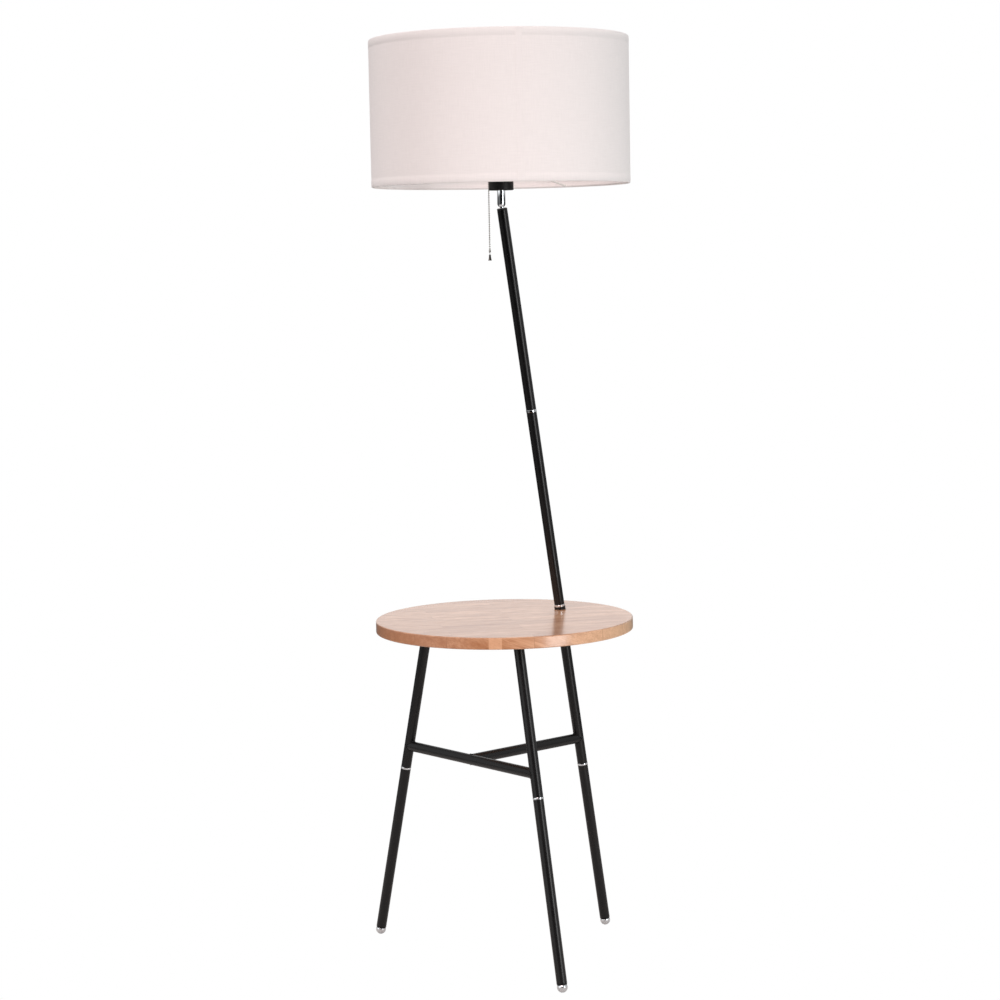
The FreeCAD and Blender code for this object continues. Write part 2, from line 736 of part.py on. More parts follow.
def wedge_collars():
    """Black collars that step from the level table to the leaning leg and pole."""
    radius = S.collar_diameter / 2
    extra = S.collar_diameter
    bore = S.clamp_hole_diameter / 2
    low_ring = tube("lower_collar_long", bore, radius, leg_end, clamp_low + extra, REAR)
    below = half_space("below_table", S.table_underside, False)
    lower = shared("lower_wedge_collar", low_ring, below)
    high_ring = tube("upper_collar_long", bore, radius, clamp_high - extra, base_ring_low, REAR)
    above = half_space("above_table", collar_seat, True)
    upper = shared("upper_wedge_collar", high_ring, above)
    return [lower, upper]


def table_clamp():
    """Wedge collars, clamp nipple and chrome ring where the pole stands on the table."""
    ring = tube("base_ring", thread_bore, ring_radius, base_ring_low, pole_start, REAR)
    clamp = nipple("clamp_nipple", leg_end - S.nipple_reach, pole_start + S.nipple_reach, REAR)
    return wedge_collars() + [ring, clamp]


# Pole

def pole():
    """Two pole sections, the chrome ring between them and the cap."""
    lower = tube("pole_lower", tube_bore, tube_radius, pole_start, pole_ring_low, REAR)
    ring = tube("pole_ring", thread_bore, ring_radius, pole_ring_low, pole_ring_high, REAR)
    upper = tube("pole_upper", tube_bore, tube_radius, pole_ring_high, cap_low, REAR)
    bore = S.swivel_stud_diameter / 2 + S.thread_clearance
    barrel_low = cap_low - S.cap_barrel
    outline = [(bore, barrel_low), (insert_radius, barrel_low), (insert_radius, cap_low),
               (tube_radius, cap_low), (tube_radius, pole_end), (bore, pole_end)]
    return [lower, ring, upper, turned("pole_cap", outline, REAR)]


# Swivel

def swivel_ball_piece():
    """Chrome ball with its neck and threaded stud, bored for the lead."""
    sphere = ball("swivel_sphere", swivel_radius, rear_length, REAR)
    neck = rod("swivel_neck", S.swivel_neck_diameter / 2, pole_end, S.cap_drop, REAR)
    stud = rod("swivel_stud", S.swivel_stud_diameter / 2, pole_end - S.swivel_stud_length,
               S.swivel_stud_length, REAR)
    solid = fused("swivel_solid", [sphere, neck, stud])
    bore = rod("swivel_lead_hole", S.swivel_bore / 2, pole_end - S.swivel_stud_length * 2,
               S.swivel_stud_length * 4, REAR)
    return cut("swivel_ball", solid, bore)


def swivel_housing():
    """Chrome sleeve with a tapered mouth and an inner lip that holds the ball."""
    mouth = swivel_radius - S.lip_hold
    lip = root(square(swivel_radius + S.ball_gap) - square(mouth))
    bore = swivel_radius + S.housing_gap
    outer = S.housing_diameter / 2
    low = -S.housing_drop
    rim = mouth + S.ball_gap
    outline = [(mouth, low), (rim, low), (outer, low + S.housing_taper), (outer, S.housing_rise),
               (thread_bore, S.housing_rise), (thread_bore, head_nipple_low - S.stack_gap),
               (bore, head_nipple_low - S.stack_gap), (bore, -S.bore_below_ball), (mouth, -lip)]
    return turned("swivel_housing", outline, HEAD)


def swivel_stack():
    """Seat ring, dished spring washer and threaded nipple above the ball."""
    seat_radius = nipple_radius - S.fit_clearance
    seat = tube("ball_seat", S.seat_bore / 2, seat_radius, seat_low, seat_high, HEAD)
    inner = S.head_nipple_bore / 2
    high = washer_low + S.washer_rise
    outline = [(inner, high), (seat_radius, washer_low),
               (seat_radius, washer_low + S.washer_thickness), (inner, high + S.washer_thickness)]
    washer = turned("spring_washer", outline, HEAD)
    nipple_high = nut_high + S.head_nipple_spare
    stud = tube("head_nipple", inner, nipple_radius, head_nipple_low, nipple_high, HEAD)
    return [seat, washer, stud]


def lock_nut():
    """Hexagon nut that holds the socket cup on the nipple."""
    body = doc.addObject("PartDesign::Body", "lock_nut")
    body.Label = "lock_nut"
    sketch = new_sketch(body, "XY_Plane", "lock_nut_outline")
    corner = S.lock_nut_flats / math.sqrt(3)
    turns = [math.radians(360 * number / NUT_SIDES) for number in range(NUT_SIDES)]
    draw_outline(sketch, [(corner * math.cos(turn), corner * math.sin(turn)) for turn in turns])
    draw_circle(sketch, ZERO, ZERO, thread_bore)
    pad = body.newObject("PartDesign::Pad", "lock_nut_pad")
    pad.Profile = sketch
    bind(pad, Length=S.lock_nut_height)
    body.Placement = HEAD.multiply(shifted(ZERO, ZERO, nut_low))
    return body


# Socket

def socket_cup():
    """Black cup with a rounded bottom rim and the slot of the pull lever."""
    outline = [(thread_bore, cup_low), (cup_radius, cup_low), (cup_radius, cup_top),
               (cup_bore, cup_top), (cup_bore, nut_low), (thread_bore, nut_low)]
    shell = turned("socket_cup_plain", outline, HEAD)
    rounded(shell, S.cup_round, [(cup_radius, cup_low)])
    drop = (cup_radius - S.lever_pivot_x) * math.tan(math.radians(S.lever_drop.value))
    slot_high = switch_axis + S.lever_thickness / 2 + S.side_gap
    slot_low = switch_axis - S.lever_thickness - S.side_gap * 2 - drop
    half = S.lever_width / 2 + S.side_gap
    slot = block("lever_slot", [-cup_radius * 2, -half, slot_low],
                 [-S.lever_pivot_x, half, slot_high], HEAD)
    return cut("socket_cup", shell, slot)


def socket_shell():
    """Black upper shell with a spigot in the cup and a shoulder for the shade."""
    spigot = cup_bore - S.carrier_gap
    low = cup_top - S.shell_spigot
    shoulder = S.shoulder_diameter / 2
    outline = [(shell_bore, low), (spigot, low), (spigot, cup_top), (shell_radius, cup_top),
               (shell_radius, shoulder_low), (shoulder, shoulder_low), (shoulder, shoulder_high),
               (shell_radius, shoulder_high), (shell_radius, shell_top), (shell_bore, shell_top)]
    return turned("socket_shell", outline, HEAD)


def bulb_holder():
    """Ceramic disc, brass screw shell and centre contact inside the socket shell."""
    radius = shell_bore - S.carrier_gap
    disc = tube("insulator_disc", ZERO, radius, cup_top, contact_low, HEAD)
    bore = S.screw_shell_bore / 2
    brass = tube("screw_shell", bore, bore + S.screw_shell_wall, contact_low,
                 contact_low + S.screw_shell_height, HEAD)
    contact = rod("centre_contact", S.contact_diameter / 2, contact_low, S.contact_height, HEAD)
    return [disc, brass, contact]


# Pull switch

def pin_bore():
    """Radius of a hole that runs on a pin."""
    return (S.pin_diameter / 2) + S.pin_clearance


def switch_carrier():
    """Moulded disc with two cheeks that hold the lever and rotor pins."""
    disc = rod("carrier_disc", cup_bore - S.carrier_gap, carrier_low, S.carrier_thickness, HEAD)
    inner = S.cheek_spacing / 2
    outer = inner + S.cheek_thickness
    near = -(S.lever_pivot_x + S.lever_hub_diameter / 2)
    far = -S.rotor_x + S.rotor_diameter / 2
    top = cup_top - S.shell_spigot - S.side_gap
    front = block("cheek_front", [near, -outer, carrier_high], [far, -inner, top], HEAD)
    back = block("cheek_back", [near, inner, carrier_high], [far, outer, top], HEAD)
    solid = fused("carrier_solid", [disc, front, back])
    holes = [cross_rod("carrier_hole_" + name, S.pin_diameter / 2, outer * 4, -x, -outer * 2,
                       switch_axis, HEAD)
             for name, x in (("lever", S.lever_pivot_x), ("rotor", S.rotor_x))]
    return cut("switch_carrier", solid, fused("carrier_holes", holes))


def switch_pins():
    """Steel pins of the lever and the rotor, across both cheeks."""
    outer = S.cheek_spacing / 2 + S.cheek_thickness
    return group("switch_pins", [cross_rod(label, S.pin_diameter / 2, outer * 2, -x, -outer,
                                           switch_axis, HEAD)
                                 for label, x in (("lever_pin", S.lever_pivot_x),
                                                  ("rotor_pin", S.rotor_x))])


def pull_lever():
    """Strip with a hub on its pin, a fork for the chain outside and a pawl end inside."""
    half = S.lever_width / 2
    thick = S.lever_thickness / 2
    hub_start = -(S.cheek_spacing / 2 - S.side_gap)
    hub_length = S.cheek_spacing - S.side_gap * 3 - S.spring_length
    hub = cross_rod("lever_hub", S.lever_hub_diameter / 2, hub_length, -S.lever_pivot_x,
                    hub_start, switch_axis, HEAD)
    pawl = -(S.rotor_x + S.rotor_diameter / 2 + S.side_gap * 2)
    arm = block("lever_arm", [-(S.lever_tip_x + S.lever_overhang), -half, switch_axis - thick],
                [-S.lever_pivot_x, half, switch_axis + thick], HEAD)
    tail = block("lever_tail", [-S.lever_pivot_x, -half, switch_axis - thick],
                 [pawl, hub_start + hub_length, switch_axis + thick], HEAD)
    slot = S.fork_slot / 2
    fork = block("lever_fork", [-S.lever_tip_x - S.lever_width, -slot, switch_axis - thick * 2],
                 [-S.lever_tip_x + slot, slot, switch_axis + thick * 2], HEAD)
    bore = cross_rod("lever_bore", pin_bore(), S.cheek_spacing * 2, -S.lever_pivot_x,
                     -S.cheek_spacing, switch_axis, HEAD)
    side = S.lever_hub_diameter / 2 + S.side_gap
    spring_room = block("lever_spring_room",
                        [-S.lever_pivot_x - side, hub_start + hub_length, switch_axis - side],
                        [-S.lever_pivot_x + side, S.cheek_spacing, switch_axis + side], HEAD)
    solid = fused("lever_solid", [hub, arm, tail])
    return cut("pull_lever", solid, fused("lever_holes", [fork, bore, spring_room]))


def lever_spring():
    """Envelope of the torsion spring on the lever pin, beside the hub."""
    inner = S.pin_diameter / 2 + S.spring_wire
    length = S.spring_length - S.side_gap
    start = S.cheek_spacing / 2 - S.side_gap / 2 - length
    outer_rod = cross_rod("spring_outer", inner + S.spring_wire, length, -S.lever_pivot_x,
                          start, switch_axis, HEAD)
    inner_rod = cross_rod("spring_inner", inner, length, -S.lever_pivot_x, start,
                          switch_axis, HEAD)
    return cut("lever_spring", outer_rod, inner_rod)


def switch_rotor():
    """Ratchet rotor, turned by one tooth at each pull."""
    start = -S.rotor_width / 2
    wheel = cross_rod("rotor_wheel", S.rotor_diameter / 2, S.rotor_width, -S.rotor_x, start,
                      switch_axis, HEAD)
    notch = S.rotor_notch
    notches = []
    for number in range(ROTOR_TEETH):
        turn = Rotation(Vector(0, 1, 0), 360 * (number + 0.5) / ROTOR_TEETH)
        frame = HEAD.multiply(shifted(-S.rotor_x, ZERO, switch_axis))
        notches.append(block("rotor_notch_%d" % number,
                             [S.rotor_diameter / 2 - notch, -S.rotor_width, -notch / 2],
                             [S.rotor_diameter, S.rotor_width, notch / 2],
                             frame.multiply(Placement(Vector(), turn))))
    bore = cross_rod("rotor_bore", pin_bore(), S.rotor_width * 2, -S.rotor_x, start * 2,
                     switch_axis, HEAD)
    return cut("switch_rotor", wheel, fused("rotor_cuts", notches + [bore]))


# Pull chain

def pull_chain():
    """Top link on the lever's fork, ball chain under it, end barrel and bell."""
    frame = HEAD.multiply(shifted(-S.lever_tip_x, ZERO, switch_axis))
    bead = S.bead_diameter / 2
    link_low = bead + S.link_gap - S.first_bead
    link_wire = rod("link_wire", S.link_diameter / 2, link_low, S.first_bead - link_low, frame)
    link = fused("chain_top_link", [ball("bead_top", bead, S.first_bead, frame), link_wire])
    beads = []
    for number in range(int(S.bead_count.value)):
        beads.append(ball("bead_%d" % number, bead, -(S.first_bead + S.bead_pitch * number), frame))
    wire = rod("bead_wire", S.link_diameter / 2, bead - chain_end, chain_end - bead - S.first_bead,
               frame)
    chain = fused("pull_chain", beads + [wire])
    barrel_low = -(chain_end + S.connector_length)
    barrel = rod("chain_connector", S.connector_diameter / 2, barrel_low, S.connector_length, frame)
    wire_radius_small = S.link_diameter / 2
    top = S.bell_top_diameter / 2
    rim = S.bell_rim_diameter / 2
    high = barrel_low - S.bell_neck
    low = high - S.bell_height
    outline = [(ZERO, barrel_low), (ZERO, low), (rim, low), (rim, low + S.bell_lip),
               (top, high), (wire_radius_small, high), (wire_radius_small, barrel_low)]
    return [link, chain, barrel, turned("bell_pull", outline, frame)]


# Shade

def shade_cover():
    """Drum of laminated fabric."""
    radius = S.shade_diameter / 2
    return tube("shade_cover", radius - S.shade_sheet, radius, shade_low, shade_high, HEAD)


def wire_ring(label, height):
    """Wire ring inside the drum."""
    part = doc.addObject("Part::Torus", label)
    part.Label = label
    bind(part, Radius1=shade_ring_path, Radius2=wire_radius)
    part.Placement = HEAD.multiply(shifted(ZERO, ZERO, height))
    return part


def spider(lower_height):
    """Hub that sits on the shoulder and three arms down to the lower wire ring."""
    bore = shell_radius + S.hub_clearance
    radius = S.hub_diameter / 2
    hub = tube("spider_hub", bore, radius, shoulder_high, hub_high, HEAD)
    arms = []
    for number in range(SPIDER_ARMS):
        turn = math.radians(S.arm_turn.value + 360 * number / SPIDER_ARMS)
        outward = Vector(math.cos(turn), math.sin(turn), 0)
        start = outward * (radius.value - wire_radius.value)
        start.z = (shoulder_high.value + hub_high.value) / 2
        end = outward * shade_ring_path.value
        end.z = lower_height.value
        label = "spider_arm_%d" % (number + 1)
        bar = doc.addObject("Part::Cylinder", label + "_long")
        bind(bar, Radius=wire_radius)
        bar.Height = (end - start).Length
        bar.Placement = HEAD.multiply(along(start, end))
        hub_shape = rod(label + "_hub", radius, shoulder_low, S.hub_diameter, HEAD)
        ring_shape = wire_ring(label + "_ring", lower_height)
        arms.append(cut(label, bar, fused(label + "_ends", [hub_shape, ring_shape])))
    return [hub] + arms


def shade_frame():
    """Both wire rings, the spider and the threaded ring that clamps it."""
    lower_height = shade_low + S.ring_inset + wire_radius
    upper_height = shade_high - S.ring_inset - wire_radius
    rings = [wire_ring("lower_wire_ring", lower_height), wire_ring("upper_wire_ring", upper_height)]
    clamp = tube("shade_ring", shell_radius + S.thread_clearance, S.shade_ring_diameter / 2,
                 hub_high, hub_high + S.shade_ring_height, HEAD)
    return rings + spider(lower_height) + [clamp]


# Bulb

def bulb():
    """Screw cap and hollow glass of the bulb."""
    tip = S.bulb_tip_diameter / 2
    cap = S.bulb_cap_diameter / 2
    outline = [(ZERO, bulb_low), (tip, bulb_low), (tip, bulb_cap_low), (cap, bulb_cap_low + tip),
               (cap, bulb_cap_high), (ZERO, bulb_cap_high)]
    base = turned("bulb_cap", outline, HEAD)
    glass = doc.addObject("Part::Feature", "bulb_glass")
    glass.Label = "bulb_glass"
    outer = bulb_outline(ZERO)
    inner = bulb_outline(S.bulb_glass_wall)
    glass.Shape = outer.cut(inner)
    glass.Placement = HEAD
    return [base, glass]


def bulb_outline(inset):
    """Solid pear shape: a ball that runs into a tapered neck, set in by a wall."""
    radius = (S.bulb_diameter / 2 - inset).value
    centre = (bulb_low + S.bulb_length - S.bulb_diameter / 2).value
    neck_radius = (S.bulb_cap_diameter / 2 - inset).value
    neck_low = (bulb_cap_high + inset).value
    # The neck line leaves (neck_radius, neck_low) and touches the ball.
    distance = math.hypot(neck_radius, centre - neck_low)
    toward_centre = math.atan2(centre - neck_low, -neck_radius)
    touch_length = math.sqrt(distance ** 2 - radius ** 2)
    touch_turn = toward_centre - math.asin(radius / distance)
    touch = Vector(neck_radius + touch_length * math.cos(touch_turn), 0,
                   neck_low + touch_length * math.sin(touch_turn))
    start = Vector(neck_radius, 0, neck_low)
    top = Vector(0, 0, centre + radius)
    side = math.atan2(touch.z - centre, touch.x)
    middle_turn = (side + math.pi / 2) / 2
    middle = Vector(radius * math.cos(middle_turn), 0, centre + radius * math.sin(middle_turn))
    edges = [Part.LineSegment(Vector(0, 0, neck_low), start).toShape(),
             Part.LineSegment(start, touch).toShape(),
             Part.Arc(touch, middle, top).toShape(),
             Part.LineSegment(top, Vector(0, 0, neck_low)).toShape()]
    face = Part.Face(Part.Wire(edges))
    return face.revolve(Vector(0, 0, 0), Vector(0, 0, 1), 360)


# Cord inlet and inner lead

def cord_grommet():
    """Rubber grommet of the cord inlet, saddle shaped on the back of the rear leg."""
    bore = S.grommet_bore / 2
    outside = tube_radius + S.grommet_flange
    inside = tube_bore - S.grommet_depth
    flange = cross_rod("grommet_flange_rod", S.grommet_diameter / 2, outside, ZERO, ZERO,
                       S.inlet_reach, INLET)
    leg_shape = rod("grommet_leg", tube_radius, ZERO, S.inlet_reach * 2, REAR)
    saddle = cut("grommet_saddle", flange, leg_shape)
    barrel = cross_rod("grommet_barrel", S.inlet_hole_diameter / 2 - S.fit_clearance,
                       tube_radius - inside, ZERO, inside, S.inlet_reach, INLET)
    solid = fused("grommet_solid", [saddle, barrel])
    hole = cross_rod("grommet_hole", bore, outside * 2, ZERO, ZERO, S.inlet_reach, INLET)
    return cut("cord_grommet", solid, hole)


def pole_lead():
    """Lead from the grommet up the rear leg and pole into the swivel ball."""
    bend = S.lead_bend.value
    reach = S.inlet_reach.value
    inlet = Vector(0, (tube_bore - S.grommet_depth).value, reach)
    turn_start = Vector(0, bend, reach)
    turn_end = Vector(0, 0, reach + bend)
    half = bend * (1 - math.sqrt(0.5))
    middle = Vector(0, half, reach + half)
    top = Vector(0, 0, (rear_length + swivel_radius / 2).value)
    path = Part.Wire([Part.LineSegment(inlet, turn_start).toShape(),
                      Part.Arc(turn_start, middle, turn_end).toShape(),
                      Part.LineSegment(turn_end, top).toShape()])
    circle = Part.Circle(inlet, Vector(0, 1, 0), (S.lead_diameter / 2).value).toShape()
    lead = doc.addObject("Part::Feature", "pole_lead")
    lead.Label = "pole_lead"
    lead.Shape = path.makePipeShell([Part.Wire(circle)], True, False)
    lead.Placement = INLET
    return lead


def head_lead():
    """Lead from the swivel up to the switch carrier."""
    low = swivel_radius + S.side_gap
    return rod("head_lead", S.lead_diameter / 2, low, carrier_low - low, HEAD)


def build():
    """Make every piece and return them in the order of the lamp from the floor up."""
    pieces = []
    for name, frame, ring_reach in LEGS:
        pieces += [foot_ball(name, frame), leg_lower(name, frame, ring_reach)]
    pieces += [foot_plugs(), leg_rings()]
    pieces += [front_leg_upper(name, front_frame(side)) for name, side in SIDES]
    pieces += [rear_leg_upper(), tube_inserts(), joint_nipples()]
    pieces += crossbars()
    pieces += [leg_plates(), plate_screws(), table_top_piece()]
    pieces += table_clamp() + pole()
    pieces += [swivel_ball_piece(), swivel_housing()] + swivel_stack() + [lock_nut()]
    pieces += [socket_cup(), socket_shell()] + bulb_holder()
    pieces += [switch_carrier(), switch_pins(), pull_lever(), lever_spring(), switch_rotor()]
    pieces += pull_chain() + [shade_cover()] + shade_frame() + bulb()
    pieces += [cord_grommet(), pole_lead(), head_lead()]
    doc.recompute()
    return pieces


def check(pieces):
    """Stop if any object failed or any piece has no sound shape."""
    for item in doc.Objects:
        if "Invalid" in item.State or "Error" in item.State:
            raise RuntimeError("failed object: " + item.Label)
    for piece in pieces:
        if piece.Shape.isNull() or not piece.Shape.isValid() or piece.Shape.Volume <= 0:
            raise RuntimeError("unsound piece: " + piece.Label)


def write(pieces):
    """One file for each piece, named after it."""
    os.makedirs("parts", exist_ok=True)
    for piece in pieces:
        piece.Shape.exportStep("parts/%s.step" % piece.Label)
        print("%-22s %2d solid(s) %12.1f mm3"
              % (piece.Label, len(piece.Shape.Solids), piece.Shape.Volume))
    print(len(pieces), "pieces")


lamp = build()
check(lamp)
write(lamp)
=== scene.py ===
"""Looks of the floor lamp with a round side table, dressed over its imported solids."""

from __future__ import annotations

import json
import logging
import math
from dataclasses import dataclass
from enum import Enum
from typing import Iterable, Sequence

import bmesh
import bpy
from mathutils import Matrix, Quaternion, Vector

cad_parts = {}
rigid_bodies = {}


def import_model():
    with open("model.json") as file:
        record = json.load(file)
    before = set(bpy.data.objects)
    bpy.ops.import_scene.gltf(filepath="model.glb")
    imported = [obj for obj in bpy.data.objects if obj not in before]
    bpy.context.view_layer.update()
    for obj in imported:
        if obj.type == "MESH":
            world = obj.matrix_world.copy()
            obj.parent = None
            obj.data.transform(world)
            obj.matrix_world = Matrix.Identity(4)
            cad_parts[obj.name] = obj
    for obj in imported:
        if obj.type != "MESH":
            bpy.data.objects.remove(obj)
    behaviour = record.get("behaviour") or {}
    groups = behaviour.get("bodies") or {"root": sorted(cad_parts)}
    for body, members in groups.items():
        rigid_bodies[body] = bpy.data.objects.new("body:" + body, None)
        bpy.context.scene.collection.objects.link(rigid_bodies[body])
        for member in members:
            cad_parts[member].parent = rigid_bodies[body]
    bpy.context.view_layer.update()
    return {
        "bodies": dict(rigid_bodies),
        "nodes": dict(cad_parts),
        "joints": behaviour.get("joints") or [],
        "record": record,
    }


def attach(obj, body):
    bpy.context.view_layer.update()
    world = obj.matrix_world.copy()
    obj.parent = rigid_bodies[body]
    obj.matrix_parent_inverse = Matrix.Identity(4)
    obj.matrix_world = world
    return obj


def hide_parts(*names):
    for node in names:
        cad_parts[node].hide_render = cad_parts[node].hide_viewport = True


logging.basicConfig(level=logging.INFO, format="%(message)s")
LOG = logging.getLogger("lamp")

MM = 0.001
FULL_TURN = 2 * math.pi
MERGE_DISTANCE = 1e-6
SHORTEST_EDGE = 1e-7
BEVEL_FROM_DEGREES = 35
SHARP_FROM_DEGREES = 32
NOISE_LOW, NOISE_HIGH = 0.3, 0.7
LEAST_ROUGHNESS = 0.02


class Body(str, Enum):
    """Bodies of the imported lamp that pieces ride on."""

    STAND = "stand"
    HEAD = "head"
    CHAIN = "hanging_chain"


class Slot(str, Enum):
    """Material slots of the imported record."""

    CHROME = "chrome"
    POWDER_COAT = "black_powder_coat"
    PLASTIC = "black_plastic"
    ZINC = "zinc_steel"
    ENAMEL = "white_enamel_wire"
    WOOD = "wood"
    FABRIC = "shade_fabric"
    BRASS = "brass"
    NYLON = "nylon"
    CERAMIC = "ceramic"
    GLASS = "bulb_glass"
    NICKEL = "nickel"
    GUNMETAL = "gunmetal"
    RUBBER = "rubber"
    SHEATH = "lead_sheath"


# Colour and nodes

Colour = tuple[float, float, float, float]
Socket = bpy.types.NodeSocket


def linear(code: str) -> Colour:
    """Turn an sRGB hex colour into linear light.

    Args:
        code: Six hex digits after a hash sign.

    Returns:
        Red, green, blue and an alpha of one.
    """
    parts = [int(code[place : place + 2], 16) / 255 for place in (1, 3, 5)]
    red, green, blue = (
        part / 12.92 if part <= 0.04045 else ((part + 0.055) / 1.055) ** 2.4 for part in parts
    )
    return (red, green, blue, 1.0)


@dataclass(frozen=True)
class Bench:
    """Node tree of a material or of the surroundings."""

    tree: bpy.types.NodeTree

    def join(self, socket: Socket, value: object) -> None:
        """Link an input to an output, or set it to a plain value.

        Args:
            socket: The input.
            value: Plain value, or the output that feeds it.
        """
        if isinstance(value, Socket):
            self.tree.links.new(value, socket)
        else:
            socket.default_value = value

    def add(
        self, kind: str, inputs: dict[str | int, object], **settings: object
    ) -> bpy.types.Node:
        """Add a node with its settings, plain inputs and links.

        Args:
            kind: Name of the node's type.
            inputs: Input name or number to a plain value, or to the output that feeds it.
            settings: Properties of the node itself.

        Returns:
            The new node.
        """
        node = self.tree.nodes.new(kind)
        for name, value in settings.items():
            setattr(node, name, value)
        for name, value in inputs.items():
            self.join(node.inputs[name], value)
        return node

    def lumps(self, place: Socket, size_mm: float, detail: float = 3.0) -> Socket:
        """Noise whose lumps have a real size.

        Args:
            place: Coordinates in metres.
            size_mm: Size of a lump in millimetres.
            detail: How many finer layers the noise holds.

        Returns:
            The noise's value.
        """
        scale = 1 / (size_mm * MM)
        return self.add(
            "ShaderNodeTexNoise", {"Vector": place, "Scale": scale, "Detail": detail}
        ).outputs[0]

    def spread(
        self,
        value: Socket,
        low: float,
        high: float,
        start: float = NOISE_LOW,
        end: float = NOISE_HIGH,
    ) -> Socket:
        """Stretch a range of a value over another range, held at both ends.

        Args:
            value: Value to stretch.
            low: Result at the start.
            high: Result at the end.
            start: Value where the range starts, by default that of most noise.
            end: Value where the range ends.

        Returns:
            The stretched value.
        """
        ends = {"From Min": start, "From Max": end, "To Min": low, "To Max": high}
        return self.add("ShaderNodeMapRange", {"Value": value, **ends}).outputs["Result"]

    def blended(
        self, share: object, first: object, second: object, way: str = "MIX"
    ) -> Socket:
        """Mix two colours.

        Args:
            share: How much of the second colour shows, plain or as an output.
            first: Colour, or the output that gives it.
            second: Colour, or the output that gives it.
            way: Name of the blend mode.

        Returns:
            The mixed colour.
        """
        colours = {0: share, 6: first, 7: second}
        return self.add("ShaderNodeMix", colours, data_type="RGBA", blend_type=way).outputs[2]

    def product(self, *shares: object) -> Socket:
        """Multiply several shares.

        Args:
            shares: Plain numbers, or the outputs that give them.

        Returns:
            Their product.
        """
        result = shares[0]
        for share in shares[1:]:
            result = self.add(
                "ShaderNodeMath", {0: result, 1: share}, operation="MULTIPLY"
            ).outputs[0]
        return result


@dataclass(frozen=True)
class Palette(Bench):
    """Node tree of a material, with its shader and its coordinates."""

    shader: bpy.types.Node
    where: bpy.types.Node

    def feed(self, name: str, value: object) -> None:
        """Set an input of the shader, or link it to an output."""
        self.join(self.shader.inputs[name], value)

    def relief(self, height: Socket, depth_mm: float, strength: float = 1.0) -> None:
        """Feed a height to the shader as fine relief.

        Args:
            height: Height from zero to one.
            depth_mm: Real depth of the relief.
            strength: Share of the relief that shows.
        """
        inputs = {"Strength": strength, "Distance": depth_mm * MM, "Height": height}
        self.feed("Normal", self.add("ShaderNodeBump", inputs).outputs["Normal"])


@dataclass(frozen=True)
class Finish:
    """A finish with fine texture, a slow change of colour and an uneven gloss."""

    name: str
    colour: str
    roughness: float
    metallic: float = 0.0
    coat: float = 0.0
    coat_roughness: float = 0.1
    specular: float = 0.5
    texture_mm: float = 1.0
    texture_depth_mm: float = 0.01
    colour_drift: float = 0.08
    gloss_drift: float = 0.06
    drift_mm: float = 45.0

    def material(self) -> bpy.types.Material:
        """Return the finish's material, made on its first use.

        Returns:
            The material.
        """
        found = bpy.data.materials.get(self.name)
        if found is not None:
            return found
        made = bpy.data.materials.new(self.name)
        made.use_nodes = True
        made.diffuse_color = linear(self.colour)
        made.node_tree.nodes.clear()
        bench = Bench(made.node_tree)
        gloss = {
            "Metallic": self.metallic,
            "Coat Weight": self.coat,
            "Coat Roughness": self.coat_roughness,
            "Specular IOR Level": self.specular,
        }
        shader = bench.add("ShaderNodeBsdfPrincipled", gloss)
        bench.add("ShaderNodeOutputMaterial", {"Surface": shader.outputs["BSDF"]})
        self.paint(Palette(bench.tree, shader, bench.add("ShaderNodeTexCoord", {})))
        return made

    def shade_of(self, factor: float) -> Colour:
        """Return the finish's colour made lighter or darker by a factor."""
        red, green, blue, _ = linear(self.colour)
        return (min(red * factor, 1), min(green * factor, 1), min(blue * factor, 1), 1.0)

    def cover(self, on: Palette, stains: Socket, marks: Socket) -> None:
        """Feed a drifting colour and an uneven gloss to the shader.

        Args:
            on: Nodes of the material.
            stains: Noise that the colour follows.
            marks: Noise that the gloss follows.
        """
        darker = self.shade_of(1 - self.colour_drift)
        lighter = self.shade_of(1 + self.colour_drift)
        on.feed("Base Color", on.blended(on.spread(stains, 0.0, 1.0), darker, lighter))
        glossiest = max(self.roughness - self.gloss_drift, LEAST_ROUGHNESS)
        on.feed("Roughness", on.spread(marks, glossiest, self.roughness + self.gloss_drift))

    def paint(self, on: Palette) -> None:
        """Colour and gloss from slow stains, and relief from fine lumps.

        Args:
            on: Nodes of the material.
        """
        place = on.where.outputs["Object"]
        stains = on.lumps(place, self.drift_mm)
        self.cover(on, stains, stains)
        on.relief(on.lumps(place, self.texture_mm, 4.0), self.texture_depth_mm)


@dataclass(frozen=True)
class PlatedFinish(Finish):
    """Plated or polished metal with faint wiping marks along one direction."""

    stain_mm: float = 18.0
    stroke_width_mm: float = 0.35
    stroke_squeeze: tuple[float, float, float] = (1, 1, 0.05)
    stroke_strength: float = 0.3

    def paint(self, on: Palette) -> None:
        """Gloss from long thin strokes over slow stains.

        Args:
            on: Nodes of the material.
        """
        place = on.where.outputs["Object"]
        long_way = {"Vector": place, "Scale": self.stroke_squeeze}
        stretched = on.add("ShaderNodeMapping", long_way).outputs["Vector"]
        strokes = on.lumps(stretched, self.stroke_width_mm, 2.0)
        stains = on.lumps(place, self.stain_mm)
        self.cover(on, stains, on.blended(0.5, strokes, stains))
        on.relief(strokes, self.texture_depth_mm, self.stroke_strength)


@dataclass(frozen=True)
class PaintedEdgeLight:
    """Painted light and shade on the top's edge, growing towards one side."""

    colour: str
    way: tuple[float, float, float]
    start_mm: float
    end_mm: float
    most: float


